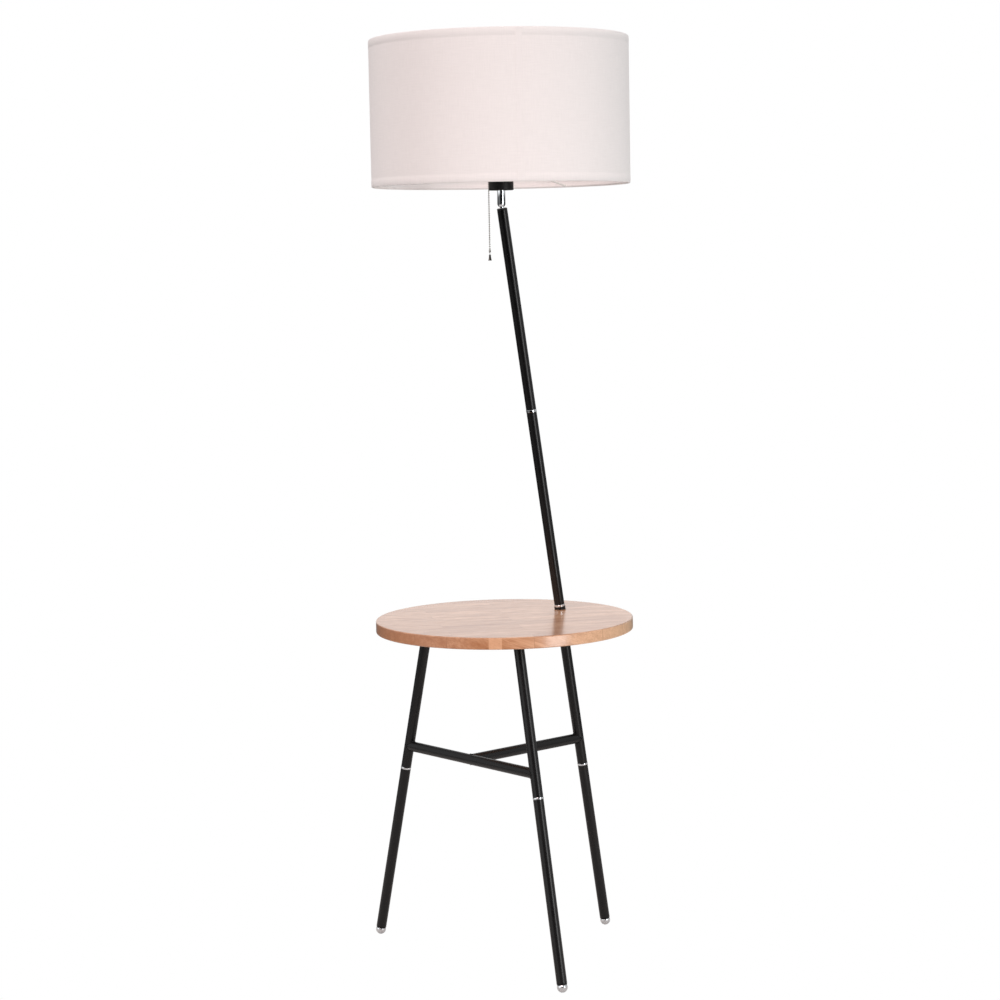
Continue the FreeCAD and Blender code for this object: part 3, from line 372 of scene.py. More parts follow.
@dataclass(frozen=True)
class LacqueredStaves(Finish):
    """Edge-glued light hardwood staves with end joints, under clear gloss lacquer.

    The grain lies level in the upper face and runs out of the edge at a slant, so it
    dives at two angles: one for the face and one for the edge.
    """

    dark_colour: str = "#a86f49"
    pore_colour: str = "#8a5433"
    stave_length_mm: float = 310.0
    stave_width_mm: float = 41.0
    stave_offset: float = 0.37
    stave_shift: tuple[float, float, float] = (0.31, 0.57, 0.83)
    joint_mm: float = 0.35
    joint_share: float = 0.45
    grain_width_mm: float = 1.7
    grain_length_mm: float = 110.0
    band_grains: float = 5.0
    pore_grains: float = 0.45
    grain_turn_degrees: float = 60.0
    grain_dive_degrees: tuple[float, float] = (5.0, -20.0)
    band_share: tuple[float, float] = (-0.3, 0.9)
    streak_share: tuple[float, float] = (-0.2, 0.8)
    tone_share: float = 0.3
    pore_share: float = 0.35
    pore_range: tuple[float, float] = (0.6, 0.72)
    gloss_range: tuple[float, float] = (-0.05, 0.08)
    edge_top_mm: float = 530.6
    # Painted shade darkens the edge's left side and painted light brightens its right side.
    painted_edge_light_and_shade: tuple[PaintedEdgeLight, ...] = (
        PaintedEdgeLight("#a86f49", (-0.656, -0.755, 0.0), -100.0, 180.0, 0.75),
        PaintedEdgeLight("#fbd8b2", (0.656, 0.755, 0.0), 20.0, 190.0, 0.5),
    )
    stave_end_mm: tuple[float, float] = (-57.5, 9.5)
    stave_end_from_mm: float = -170.0
    stave_end_share: float = 0.55

    def paint(self, on: Palette) -> None:
        """Staves as bricks, growth bands and pores stretched along the grain.

        Args:
            on: Nodes of the material.
        """
        turn = (0, 0, -math.radians(self.grain_turn_degrees))
        place = {"Vector": on.where.outputs["Object"], "Rotation": turn}
        turned = on.add("ShaderNodeMapping", place).outputs["Vector"]
        staves = on.add(
            "ShaderNodeTexBrick",
            {
                "Vector": turned,
                "Color1": (0, 0, 0, 1),
                "Color2": (1, 1, 1, 1),
                "Mortar": (0.5, 0.5, 0.5, 1),
                "Scale": 1.0,
                "Mortar Size": self.joint_mm * MM,
                "Mortar Smooth": 0.2,
                "Brick Width": self.stave_length_mm * MM,
                "Row Height": self.stave_width_mm * MM,
            },
            offset=self.stave_offset,
        )
        tone = staves.outputs["Color"]
        parts = on.add("ShaderNodeSeparateXYZ", {0: turned})
        below = {0: parts.outputs["Z"], 1: self.edge_top_mm * MM}
        edge = on.add("ShaderNodeMath", below, operation="LESS_THAN").outputs[0]
        grain = self.grain(on, {0: tone, 1: self.stave_shift, 2: turned}, edge)
        bands = on.lumps(grain, self.grain_width_mm * self.band_grains, 5.0)
        streaks = on.lumps(grain, self.grain_width_mm, 6.0)
        pores = on.lumps(grain, self.grain_width_mm * self.pore_grains, 2.0)
        light, dark, pore = map(linear, (self.colour, self.dark_colour, self.pore_colour))
        layers = [
            (on.spread(bands, *self.band_share), dark),
            (on.spread(streaks, *self.streak_share), dark),
            (on.spread(tone, 0.0, self.tone_share), dark),
        ]
        # Painted light and shade on the two sides of the edge.
        layers += [
            (on.product(edge, self.painted_edge_share(on, side)), linear(side.colour))
            for side in self.painted_edge_light_and_shade
        ]
        layers += [
            (self.stave_end(on, parts, edge), light),
            (on.spread(pores, 0.0, self.pore_share, *self.pore_range), pore),
            (on.product(staves.outputs["Fac"], self.joint_share), pore),
        ]
        wood = light
        for share, colour in layers:
            wood = on.blended(share, wood, colour)
        on.feed("Base Color", wood)
        low, high = (self.roughness + step for step in self.gloss_range)
        on.feed("Roughness", on.spread(streaks, low, high))
        on.relief(streaks, self.texture_depth_mm, 0.5)

    def grain(self, on: Palette, shift: dict[int, object], edge: Socket) -> Socket:
        """Coordinates squeezed along the grain, other in each stave.

        Args:
            on: Nodes of the material.
            shift: A stave's tone, the shift that it stands for and the plain coordinates.
            edge: One on the edge of the top.

        Returns:
            The coordinates.
        """
        shifted = on.add("ShaderNodeVectorMath", shift, operation="MULTIPLY_ADD")
        squeeze = (self.grain_width_mm / self.grain_length_mm, 1, 1)
        ways = []
        for dive in self.grain_dive_degrees:
            slant = {"Vector": shifted.outputs["Vector"], "Rotation": (0, math.radians(dive), 0)}
            dived = on.add("ShaderNodeMapping", slant).outputs["Vector"]
            ways.append(on.add("ShaderNodeMapping", {"Vector": dived, "Scale": squeeze}))
        both = {0: edge, 4: ways[0].outputs["Vector"], 5: ways[1].outputs["Vector"]}
        return on.add("ShaderNodeMix", both, data_type="VECTOR").outputs[1]

    def painted_edge_share(self, on: Palette, side: PaintedEdgeLight) -> Socket:
        """Painted light and shade share, growing towards one side, zero up to its start.

        Args:
            on: Nodes of the material.
            side: Side that the share grows towards.

        Returns:
            The share.
        """
        across = {0: on.where.outputs["Object"], 1: side.way}
        reach = on.add("ShaderNodeVectorMath", across, operation="DOT_PRODUCT")
        start, end = side.start_mm * MM, side.end_mm * MM
        return on.spread(reach.outputs["Value"], 0.0, side.most, start, end)

    def stave_end(self, on: Palette, parts: bpy.types.Node, edge: Socket) -> Socket:
        """Share of a short light stave end that shows in the front edge.

        Args:
            on: Nodes of the material.
            parts: Node that splits the coordinates, with X along the staves.
            edge: One on the edge of the top.

        Returns:
            The share, zero outside the stave end.
        """
        middle, half = (size * MM for size in self.stave_end_mm)
        lengthwise = {0: parts.outputs["X"], 1: middle, 2: half}
        crosswise = {0: parts.outputs["Y"], 1: self.stave_end_from_mm * MM}
        inside = on.add("ShaderNodeMath", lengthwise, operation="COMPARE").outputs[0]
        front = on.add("ShaderNodeMath", crosswise, operation="LESS_THAN").outputs[0]
        return on.product(inside, front, edge, self.stave_end_share)


@dataclass(frozen=True)
class LaminatedFabric(Finish):
    """White linen-look fabric on a plastic sheet, with uneven threads both ways.

    The real threads are 0.4 mm apart. They are drawn 1.5 mm apart so that they show.
    """

    thread_mm: float = 1.5
    slub_mm: float = 22.0
    sheen: float = 0.15
    sheen_roughness: float = 0.5

    def paint(self, on: Palette) -> None:
        """Threads across and down from stretched noise on the unrolled sheet.

        Args:
            on: Nodes of the material.
        """
        squeeze = self.thread_mm / self.slub_mm
        ways = []
        for scale in ((squeeze, 1, 1), (1, squeeze, 1)):
            flat = {"Vector": on.where.outputs["UV"], "Scale": scale}
            stretched = on.add("ShaderNodeMapping", flat).outputs["Vector"]
            ways.append(on.lumps(stretched, self.thread_mm, 2.0))
        weave = on.blended(0.5, *ways)
        darker = self.shade_of(1 - self.colour_drift)
        on.feed("Base Color", on.blended(on.spread(weave, 0.0, 1.0), darker, linear(self.colour)))
        on.feed("Roughness", self.roughness)
        on.feed("Sheen Weight", self.sheen)
        on.feed("Sheen Roughness", self.sheen_roughness)
        on.relief(weave, self.texture_depth_mm, 0.6)


@dataclass(frozen=True)
class GlowingFloor(Finish):
    """Pale floor of a studio that is evenly lit far beyond the lamp."""

    glow: float = 0.05

    def paint(self, on: Palette) -> None:
        """Paint with a weak even glow.

        Args:
            on: Nodes of the material.
        """
        super().paint(on)
        on.feed("Emission Color", (1, 1, 1, 1))
        on.feed("Emission Strength", self.glow)


@dataclass(frozen=True)
class OpalGlass(Finish):
    """Bulb glass, frosted white inside, so that light spreads in it."""

    clear_share: float = 0.35

    def paint(self, on: Palette) -> None:
        """Milky glass with a smooth outside.

        Args:
            on: Nodes of the material.
        """
        super().paint(on)
        on.feed("Transmission Weight", self.clear_share)
        on.feed("IOR", 1.5)


# Satin black powder coat: a fine orange peel and a soft broad highlight.
POWDER_COAT = Finish(
    "powder_coated_steel_tube",
    "#0b0b0c",
    0.3,
    specular=0.3,
    texture_mm=0.9,
    texture_depth_mm=0.02,
    colour_drift=0.12,
    gloss_drift=0.04,
)
# A weld under the same powder coat: rippled, so it glints in short bars.
COATED_WELD = Finish(
    "powder_coated_weld",
    "#0d0d0e",
    0.36,
    specular=0.25,
    texture_mm=1.6,
    texture_depth_mm=0.25,
    drift_mm=6.0,
)
# Bright nickel-chrome plating: near mirror, slightly blue.
CHROME = PlatedFinish(
    "bright_chrome_plating", "#d3d6d9", 0.07, metallic=1.0, colour_drift=0.03, gloss_drift=0.03
)
# Injection moulded ABS with a fine spark-eroded surface.
MOULDED_BLACK = Finish(
    "moulded_black_abs",
    "#0c0c0d",
    0.4,
    specular=0.25,
    texture_mm=0.5,
    texture_depth_mm=0.015,
    gloss_drift=0.05,
)
# Zinc plated turned steel: grey, with a dull shine.
ZINC = PlatedFinish(
    "zinc_plated_steel", "#b4b8bb", 0.32, metallic=1.0, colour_drift=0.08, gloss_drift=0.08
)
# Dipped enamel on wire: white and smooth with soft runs.
ENAMEL = Finish(
    "white_dipped_enamel", "#e9e8e4", 0.28, coat=0.3, texture_mm=4.0, texture_depth_mm=0.03
)
# Light hardwood staves under gloss lacquer: warm and striped, with a clear reflection.
# Its edge carries painted shade towards the left and painted light towards the right.
LACQUERED_WOOD = LacqueredStaves(
    "lacquered_hardwood_staves",
    "#edbb95",
    0.4,
    coat=1.0,
    coat_roughness=0.2,
    texture_depth_mm=0.02,
)
# Fabric laminated on styrene sheet: white, dull and faintly woven.
SHADE_FABRIC = LaminatedFabric(
    "laminated_linen_shade", "#f5f1f0", 0.85, texture_depth_mm=0.12, colour_drift=0.06
)
# Pressed brass, polished by the bulb's thread.
BRASS = PlatedFinish(
    "pressed_brass", "#c9a35a", 0.22, metallic=1.0, colour_drift=0.06, gloss_drift=0.06
)
# Natural nylon: waxy off-white.
NYLON = Finish("natural_nylon", "#dedccf", 0.45, texture_mm=1.5, texture_depth_mm=0.01)
# Glazed steatite: white with a glassy coat.
CERAMIC = Finish(
    "glazed_steatite", "#e6e2da", 0.25, coat=0.8, texture_mm=1.2, texture_depth_mm=0.02
)
# Opal bulb glass: milky white, glossy outside.
BULB_GLASS = OpalGlass(
    "opal_bulb_glass", "#f3f2ee", 0.12, texture_mm=30.0, texture_depth_mm=0.02, colour_drift=0.01
)
# Nickel plated ball chain: silver, slightly warm.
NICKEL = PlatedFinish(
    "nickel_plated_brass", "#b9b7b2", 0.18, metallic=1.0, colour_drift=0.08, gloss_drift=0.06
)
# Black nickel on the bell: dark and shiny.
BLACK_NICKEL = PlatedFinish(
    "black_nickel_plating", "#4b4845", 0.2, metallic=1.0, colour_drift=0.1, gloss_drift=0.06
)
# Moulded rubber: black and dull.
RUBBER = Finish("moulded_rubber", "#1b1b1b", 0.7, texture_mm=0.8, texture_depth_mm=0.03)
# Extruded cable sheath: dark, half glossy.
SHEATH = Finish("extruded_cable_sheath", "#26262a", 0.5, texture_mm=2.0, texture_depth_mm=0.01)
# Pale painted studio floor: dull, and even all over.
STUDIO_FLOOR = GlowingFloor(
    "pale_painted_floor",
    "#d0cdca",
    0.8,
    texture_mm=40.0,
    texture_depth_mm=0.05,
    colour_drift=0.004,
)

SLOT_FINISHES: dict[Slot, Finish] = {
    Slot.CHROME: CHROME,
    Slot.POWDER_COAT: POWDER_COAT,
    Slot.PLASTIC: MOULDED_BLACK,
    Slot.ZINC: ZINC,
    Slot.ENAMEL: ENAMEL,
    Slot.WOOD: LACQUERED_WOOD,
    Slot.FABRIC: SHADE_FABRIC,
    Slot.BRASS: BRASS,
    Slot.NYLON: NYLON,
    Slot.CERAMIC: CERAMIC,
    Slot.GLASS: BULB_GLASS,
    Slot.NICKEL: NICKEL,
    Slot.GUNMETAL: BLACK_NICKEL,
    Slot.RUBBER: RUBBER,
    Slot.SHEATH: SHEATH,
}


# Mesh work

Profile = Sequence[tuple[float, float]]


def spun(shape: bmesh.types.BMesh, steps: int) -> None:
    """Turn all edges of a mesh once round the Z axis and close the result.

    Args:
        shape: Mesh with the edges only.
        steps: Sides of the turned shape.
    """
    bmesh.ops.spin(
        shape,
        geom=shape.verts[:] + shape.edges[:],
        cent=(0, 0, 0),
        axis=(0, 0, 1),
        angle=FULL_TURN,
        steps=steps,
        use_merge=True,
    )


def lathe(profile: Profile, steps: int = 72, bevel_mm: float = 0.0) -> bmesh.types.BMesh:
    """Spin a closed outline round the Z axis.

    Args:
        profile: Corners as (radius, height) in millimetres, the last one joined to the first.
        steps: Sides of the turned shape.
        bevel_mm: Width of the bevel on its sharp edges.

    Returns:
        The turned shape in metres.
    """
    shape = bmesh.new()
    corners = [shape.verts.new((radius * MM, 0, height * MM)) for radius, height in profile]
    for pair in zip(corners, corners[1:] + corners[:1]):
        shape.edges.new(pair)
    spun(shape, steps)
    return cleaned(shape, bevel_mm)


def cleaned(shape: bmesh.types.BMesh, bevel_mm: float = 0.0) -> bmesh.types.BMesh:
    """Merge doubles, point the faces outwards and bevel the sharp edges.

    Args:
        shape: Mesh to clean.
        bevel_mm: Width of the bevel, or zero for none.

    Returns:
        The same mesh.
    """
    bmesh.ops.remove_doubles(shape, verts=shape.verts, dist=MERGE_DISTANCE)
    bmesh.ops.dissolve_degenerate(shape, edges=shape.edges, dist=SHORTEST_EDGE)
    bmesh.ops.recalc_face_normals(shape, faces=shape.faces)
    if bevel_mm:
        limit = math.radians(BEVEL_FROM_DEGREES)
        inner = [edge for edge in shape.edges if len(edge.link_faces) == 2]
        sharp = [edge for edge in inner if edge.calc_face_angle(0.0) > limit]
        bmesh.ops.bevel(
            shape,
            geom=sharp,
            offset=bevel_mm * MM,
            affect="EDGES",
            segments=2,
            profile=0.5,
            material=-1,
            clamp_overlap=True,
        )
    return shape


def placed(shape: bmesh.types.BMesh, frame: Matrix) -> bmesh.types.BMesh:
    """Move a whole mesh into a frame of the lamp."""
    bmesh.ops.transform(shape, matrix=frame, verts=shape.verts)
    return shape


def joined(shapes: Iterable[bmesh.types.BMesh]) -> bmesh.types.BMesh:
    """Put several meshes in one.

    Args:
        shapes: Meshes in the lamp's frame. They are freed.

    Returns:
        One mesh that holds them all.
    """
    whole = bmesh.new()
    for shape in shapes:
        part = bpy.data.meshes.new("part")
        shape.to_mesh(part)
        shape.free()
        whole.from_mesh(part)
        bpy.data.meshes.remove(part)
    return whole


def dressed(
    name: str,
    shape: bmesh.types.BMesh,
    slot: Slot,
    body: Body,
    finish: Finish | None = None,
    stands_for: Sequence[str] = (),
) -> bpy.types.Object:
    """Turn a mesh into a finished piece that rides on its body.

    Args:
        name: Name of the piece.
        shape: Mesh in the lamp's frame, in metres. It is freed.
        slot: Material slot of the record.
        body: Body that carries the piece.
        finish: Finish of the piece, or none for the slot's own.
        stands_for: Solids that the piece replaces.

    Returns:
        The piece.
    """
    mesh = bpy.data.meshes.new(name)
    shape.to_mesh(mesh)
    shape.free()
    for face in mesh.polygons:
        face.use_smooth = True
    mesh.set_sharp_from_angle(angle=math.radians(SHARP_FROM_DEGREES))
    mesh.materials.append((finish or SLOT_FINISHES[slot]).material())
    piece = bpy.data.objects.new(name, mesh)
    bpy.context.scene.collection.objects.link(piece)
    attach(piece, body.value)
    if stands_for:
        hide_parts(*stands_for)
    LOG.info("%s: %d faces on %s", name, len(mesh.polygons), body.value)
    return piece


def point_mm(x: float, y: float, z: float) -> Vector:
    """Point of the lamp from millimetres."""
    return Vector((x, y, z)) * MM


def along(start: Vector, end: Vector) -> Matrix:
    """Frame at a start point whose Z axis points to an end point."""
    turn: Quaternion = (end - start).to_track_quat("Z", "Y")
    return Matrix.Translation(start) @ turn.to_matrix().to_4x4()


def moved_up(frame: Matrix, height_mm: float) -> Matrix:
    """Frame moved along its own Z axis."""
    return frame @ Matrix.Translation((0, 0, height_mm * MM))


# The lamp


@dataclass
class Stance:
    """Places of the lamp's main lines, in millimetres."""

    front_foot: tuple[float, float] = (218.3, 96.0)
    front_top: tuple[float, float] = (107.4, 73.5)
    rear_foot_y: float = 198.8
    head_y: float = 3.5
    swivel_height: float = 1170.5
    foot_radius: float = 8.0
    tube_radius: float = 8.0
    table_underside: float = 513.4
    table_top: float = 531.4

    def front_leg(self, side: int) -> tuple[Vector, Vector]:
        """Foot and top of a front leg's centre line.

        Args:
            side: Minus one for the left leg, one for the right leg.

        Returns:
            Both points in metres.
        """
        foot = point_mm(side * self.front_foot[0], -self.front_foot[1], self.foot_radius)
        top = point_mm(side * self.front_top[0], -self.front_top[1], self.table_underside)
        return foot, top

    def rear_line(self) -> tuple[Vector, Vector]:
        """Foot and swivel of the line that the rear leg and the pole share."""
        foot = point_mm(0, self.rear_foot_y, self.foot_radius)
        return foot, point_mm(0, self.head_y, self.swivel_height)

    def head(self) -> Matrix:
        """Upright frame of the lamp head at the swivel ball."""
        return Matrix.Translation(point_mm(0, self.head_y, self.swivel_height))

    def reach_at(self, height_mm: float) -> float:
        """Distance along the rear line to a height, in millimetres.

        Args:
            height_mm: Height above the floor.

        Returns:
            The distance from the foot.
        """
        foot, swivel = self.rear_line()
        share = (height_mm * MM - foot.z) / (swivel.z - foot.z)
        return (swivel - foot).length * share / MM


@dataclass
class Tripod:
    """Feet, leg rings and welds of the three legs and two crossbars."""

    stance: Stance
    foot_flat: float = 3.4
    plug_flange: float = 2.6
    plug_barrel: float = 15.0
    plug_radius: float = 6.4
    stud_hole: float = 3.1
    ring_radius: float = 8.3
    ring_bore: float = 5.1
    ring_height: float = 3.0
    front_ring_reach: float = 281.0
    rear_ring_reach: float = 271.0
    crossbar_height: float = 318.0
    bead_radius: float = 1.15
    ripple_share: float = 0.12
    ripples: int = 34
    plate_thickness: float = 3.0

    def lines(self) -> list[tuple[str, Vector, Vector, float]]:
        """Name, foot, upper point and ring reach of each leg.

        Returns:
            One row per leg, with the points in metres and the reach in millimetres.
        """
        legs = []
        for name, side in (("left", -1), ("right", 1)):
            foot, top = self.stance.front_leg(side)
            legs.append((name, foot, top, self.front_ring_reach))
        foot, swivel = self.stance.rear_line()
        legs.append(("rear", foot, swivel, self.rear_ring_reach))
        return legs

    def foot_ball(self, foot: Vector, top: Vector) -> bmesh.types.BMesh:
        """Polished ball, flat where it meets the end plug, with a short neck.

        Args:
            foot: Centre of the ball.
            top: Upper point of the leg's line.

        Returns:
            The ball in the lamp's frame.
        """
        radius = self.stance.foot_radius
        ball = bmesh.new()
        bmesh.ops.create_uvsphere(ball, u_segments=48, v_segments=32, radius=radius * MM)
        cut = bmesh.ops.bisect_plane(
            ball,
            geom=ball.verts[:] + ball.edges[:] + ball.faces[:],
            plane_co=(0, 0, self.foot_flat * MM),
            plane_no=(0, 0, 1),
            clear_outer=True,
        )
        rim = [item for item in cut["geom_cut"] if isinstance(item, bmesh.types.BMEdge)]
        bmesh.ops.edgeloop_fill(ball, edges=rim)
        return placed(cleaned(ball, 0.3), along(foot, top))

    def end_plug(self) -> bmesh.types.BMesh:
        """Moulded end plug with a rounded flange and a shadow groove under the tube.

        Returns:
            The plug, with the foot's centre at the origin.
        """
        low = self.foot_flat
        high = low + self.plug_flange
        end = high + self.plug_barrel
        radius, inner, hole = self.stance.tube_radius, self.plug_radius, self.stud_hole
        outline = [
            (hole, low), (radius - 1.4, low), (radius - 0.5, low + 0.35),
            (radius - 0.1, low + 1.1), (radius, high - 0.5), (radius - 0.35, high - 0.3),
            (radius - 0.35, high), (inner, high), (inner, end), (hole, end),
        ]
        return lathe(outline, 64)

    def ring(self, height: float) -> bmesh.types.BMesh:
        """Chrome ring with softened edges.

        Args:
            height: Height of the ring in millimetres.

        Returns:
            The ring, centred on the origin.
        """
        half = height / 2
        outline = [
            (self.ring_bore, -half), (self.ring_radius, -half), (self.ring_radius, half),
            (self.ring_bore, half),
        ]
        return lathe(outline, 72, 0.35)

    def weld(
        self, bar_start: Vector, bar_end: Vector, other: tuple[Vector, Vector]
    ) -> bmesh.types.BMesh:
        """Rippled fillet weld where the end of a bar meets another tube of the same size.

        Args:
            bar_start: Point inside the bar.
            bar_end: Point on the other tube's centre line where the bar ends.
            other: Two points of the other tube's centre line.

        Returns:
            The bead in the lamp's frame.
        """
        radius = self.stance.tube_radius * MM
        bead = bmesh.new()
        circle = bmesh.ops.create_circle(bead, segments=8, radius=self.bead_radius * MM)["verts"]
        stand_up = Matrix.Translation((radius, 0, 0)) @ Matrix.Rotation(math.pi / 2, 4, "X")
        bmesh.ops.transform(bead, matrix=stand_up, verts=circle)
        spun(bead, 96)
        frame = along(bar_end, bar_start)
        inverse = frame.inverted()
        line_point = inverse @ other[0]
        line_way = ((inverse @ other[1]) - line_point).normalized()
        for corner in bead.verts:
            turn = math.atan2(corner.co.y, corner.co.x)
            base = Vector((radius * math.cos(turn), radius * math.sin(turn), 0))
            ripple = 1 + self.ripple_share * math.sin(turn * self.ripples)
            corner.co = base + (corner.co - base) * ripple
            corner.co.z += self.meeting(base, line_point, line_way, radius)
        return placed(cleaned(bead), frame)

    def meeting(
        self, base: Vector, line_point: Vector, line_way: Vector, radius: float
    ) -> float:
        """Height at which a line along Z leaves a tube.

        Args:
            base: Point of the line at height zero.
            line_point: Point of the tube's centre line.
            line_way: Direction of the tube's centre line.
            radius: Radius of the tube.

        Returns:
            The height, or the height nearest to the tube where the line misses it.
        """
        up = Vector((0, 0, 1)).cross(line_way)
        out = (base - line_point).cross(line_way)
        square = up.length_squared
        middle = up.dot(out)
        inside = max(middle * middle - square * (out.length_squared - radius * radius), 0.0)
        return (-middle + math.sqrt(inside)) / square

    def on_line(self, start: Vector, end: Vector, height_mm: float) -> Vector:
        """Point of a line at a height of the lamp."""
        share = (height_mm * MM - start.z) / (end.z - start.z)
        return start.lerp(end, share)

    def welds(self) -> bmesh.types.BMesh:
        """Welds of both crossbars and of both leg plates.

        Returns:
            All beads in the lamp's frame.
        """
        height = self.crossbar_height
        lines = {name: (foot, top) for name, foot, top, _ in self.lines()}
        left = self.on_line(*lines["left"], height)
        right = self.on_line(*lines["right"], height)
        rear = self.on_line(*lines["rear"], height)
        middle = (left + right) / 2
        beads = [
            self.weld(middle, left, lines["left"]),
            self.weld(middle, right, lines["right"]),
            self.weld(rear, middle, (left, right)),
            self.weld(middle, rear, lines["rear"]),
        ]
        radius = self.stance.tube_radius
        for name in ("left", "right"):
            foot, top = lines[name]
            spot = self.on_line(foot, top, self.stance.table_underside - self.plate_thickness)
            outline = [(radius - 0.4, 0.4), (radius + 1.7, 0.4), (radius + 1.3, -0.9)]
            outline += [(radius + 0.5, -1.9), (radius - 0.4, -2.4)]
            bead = lathe(outline)
            way = foot - top
            lean = Vector((way.x, way.y, 0)) / abs(way.z)
            for corner in bead.verts:
                corner.co += lean * -corner.co.z
            beads.append(placed(bead, Matrix.Translation(spot)))
        return joined(beads)

    def build(self) -> None:
        """Make the feet, rings and welds."""
        plugs, rings = [], []
        for name, foot, top, reach in self.lines():
            ball, node = self.foot_ball(foot, top), "foot_ball_" + name
            dressed("polished_foot_" + name, ball, Slot.CHROME, Body.STAND, stands_for=[node])
            frame = along(foot, top)
            plugs.append(placed(self.end_plug(), frame))
            rings.append(placed(self.ring(self.ring_height), moved_up(frame, reach)))
        ends, joints = joined(plugs), joined(rings)
        dressed("end_plugs", ends, Slot.PLASTIC, Body.STAND, stands_for=["foot_plugs"])
        dressed("leg_joint_rings", joints, Slot.CHROME, Body.STAND, stands_for=["leg_rings"])
        dressed("frame_welds", self.welds(), Slot.POWDER_COAT, Body.STAND, COATED_WELD)


@dataclass
class Pole:
    """Chrome rings and cap of the leaning pole."""

    stance: Stance
    ring_radius: float = 8.3
    ring_bore: float = 5.1
    base_gap: float = 5.0
    base_ring_height: float = 3.5
    pole_ring_height: float = 4.0
    pole_ring_reach: float = 854.5
    cap_drop: float = 5.8
    cap_height: float = 3.0
    cap_barrel: float = 12.0
    cap_barrel_radius: float = 6.4
    cap_hole: float = 4.1

    def ring(self, low: float, height: float) -> bmesh.types.BMesh:
        """Chrome ring on the pole, with a fine groove round its middle.

        Args:
            low: Lower end along the rear line, in millimetres.
            height: Height of the ring.

        Returns:
            The ring in the lamp's frame.
        """
        foot, swivel = self.stance.rear_line()
        radius, high = self.ring_radius, low + height
        outline = [
            (self.ring_bore, low), (radius - 0.3, low), (radius, low + 0.35),
            (radius, high - 0.35), (radius - 0.3, high), (self.ring_bore, high),
        ]
        return placed(lathe(outline, 72), along(foot, swivel))

    def cap(self) -> bmesh.types.BMesh:
        """Moulded cap with a rounded shoulder and a seam line over the tube.

        Returns:
            The cap in the lamp's frame.
        """
        foot, swivel = self.stance.rear_line()
        end = (swivel - foot).length / MM - self.cap_drop
        low = end - self.cap_height
        start = low - self.cap_barrel
        radius, inner, hole = self.stance.tube_radius, self.cap_barrel_radius, self.cap_hole
        outline = [
            (hole, start), (inner, start), (inner, low),
            (radius - 0.3, low), (radius - 0.3, low + 0.35), (radius, low + 0.5),
            (radius, end - 1.0), (radius - 0.35, end - 0.3), (radius - 1.1, end), (hole, end),
        ]
        return placed(lathe(outline, 72), along(foot, swivel))

    def build(self) -> None:
        """Make the rings and the cap."""
        base_low = self.stance.reach_at(self.stance.table_top) + self.base_gap
        base = self.ring(base_low, self.base_ring_height)
        dressed("pole_base_ring", base, Slot.CHROME, Body.STAND, stands_for=["base_ring"])
        low = self.pole_ring_reach - self.pole_ring_height / 2
        middle = self.ring(low, self.pole_ring_height)
        dressed("pole_joint_ring", middle, Slot.CHROME, Body.STAND, stands_for=["pole_ring"])
        dressed("pole_end_cap", self.cap(), Slot.PLASTIC, Body.STAND, stands_for=["pole_cap"])


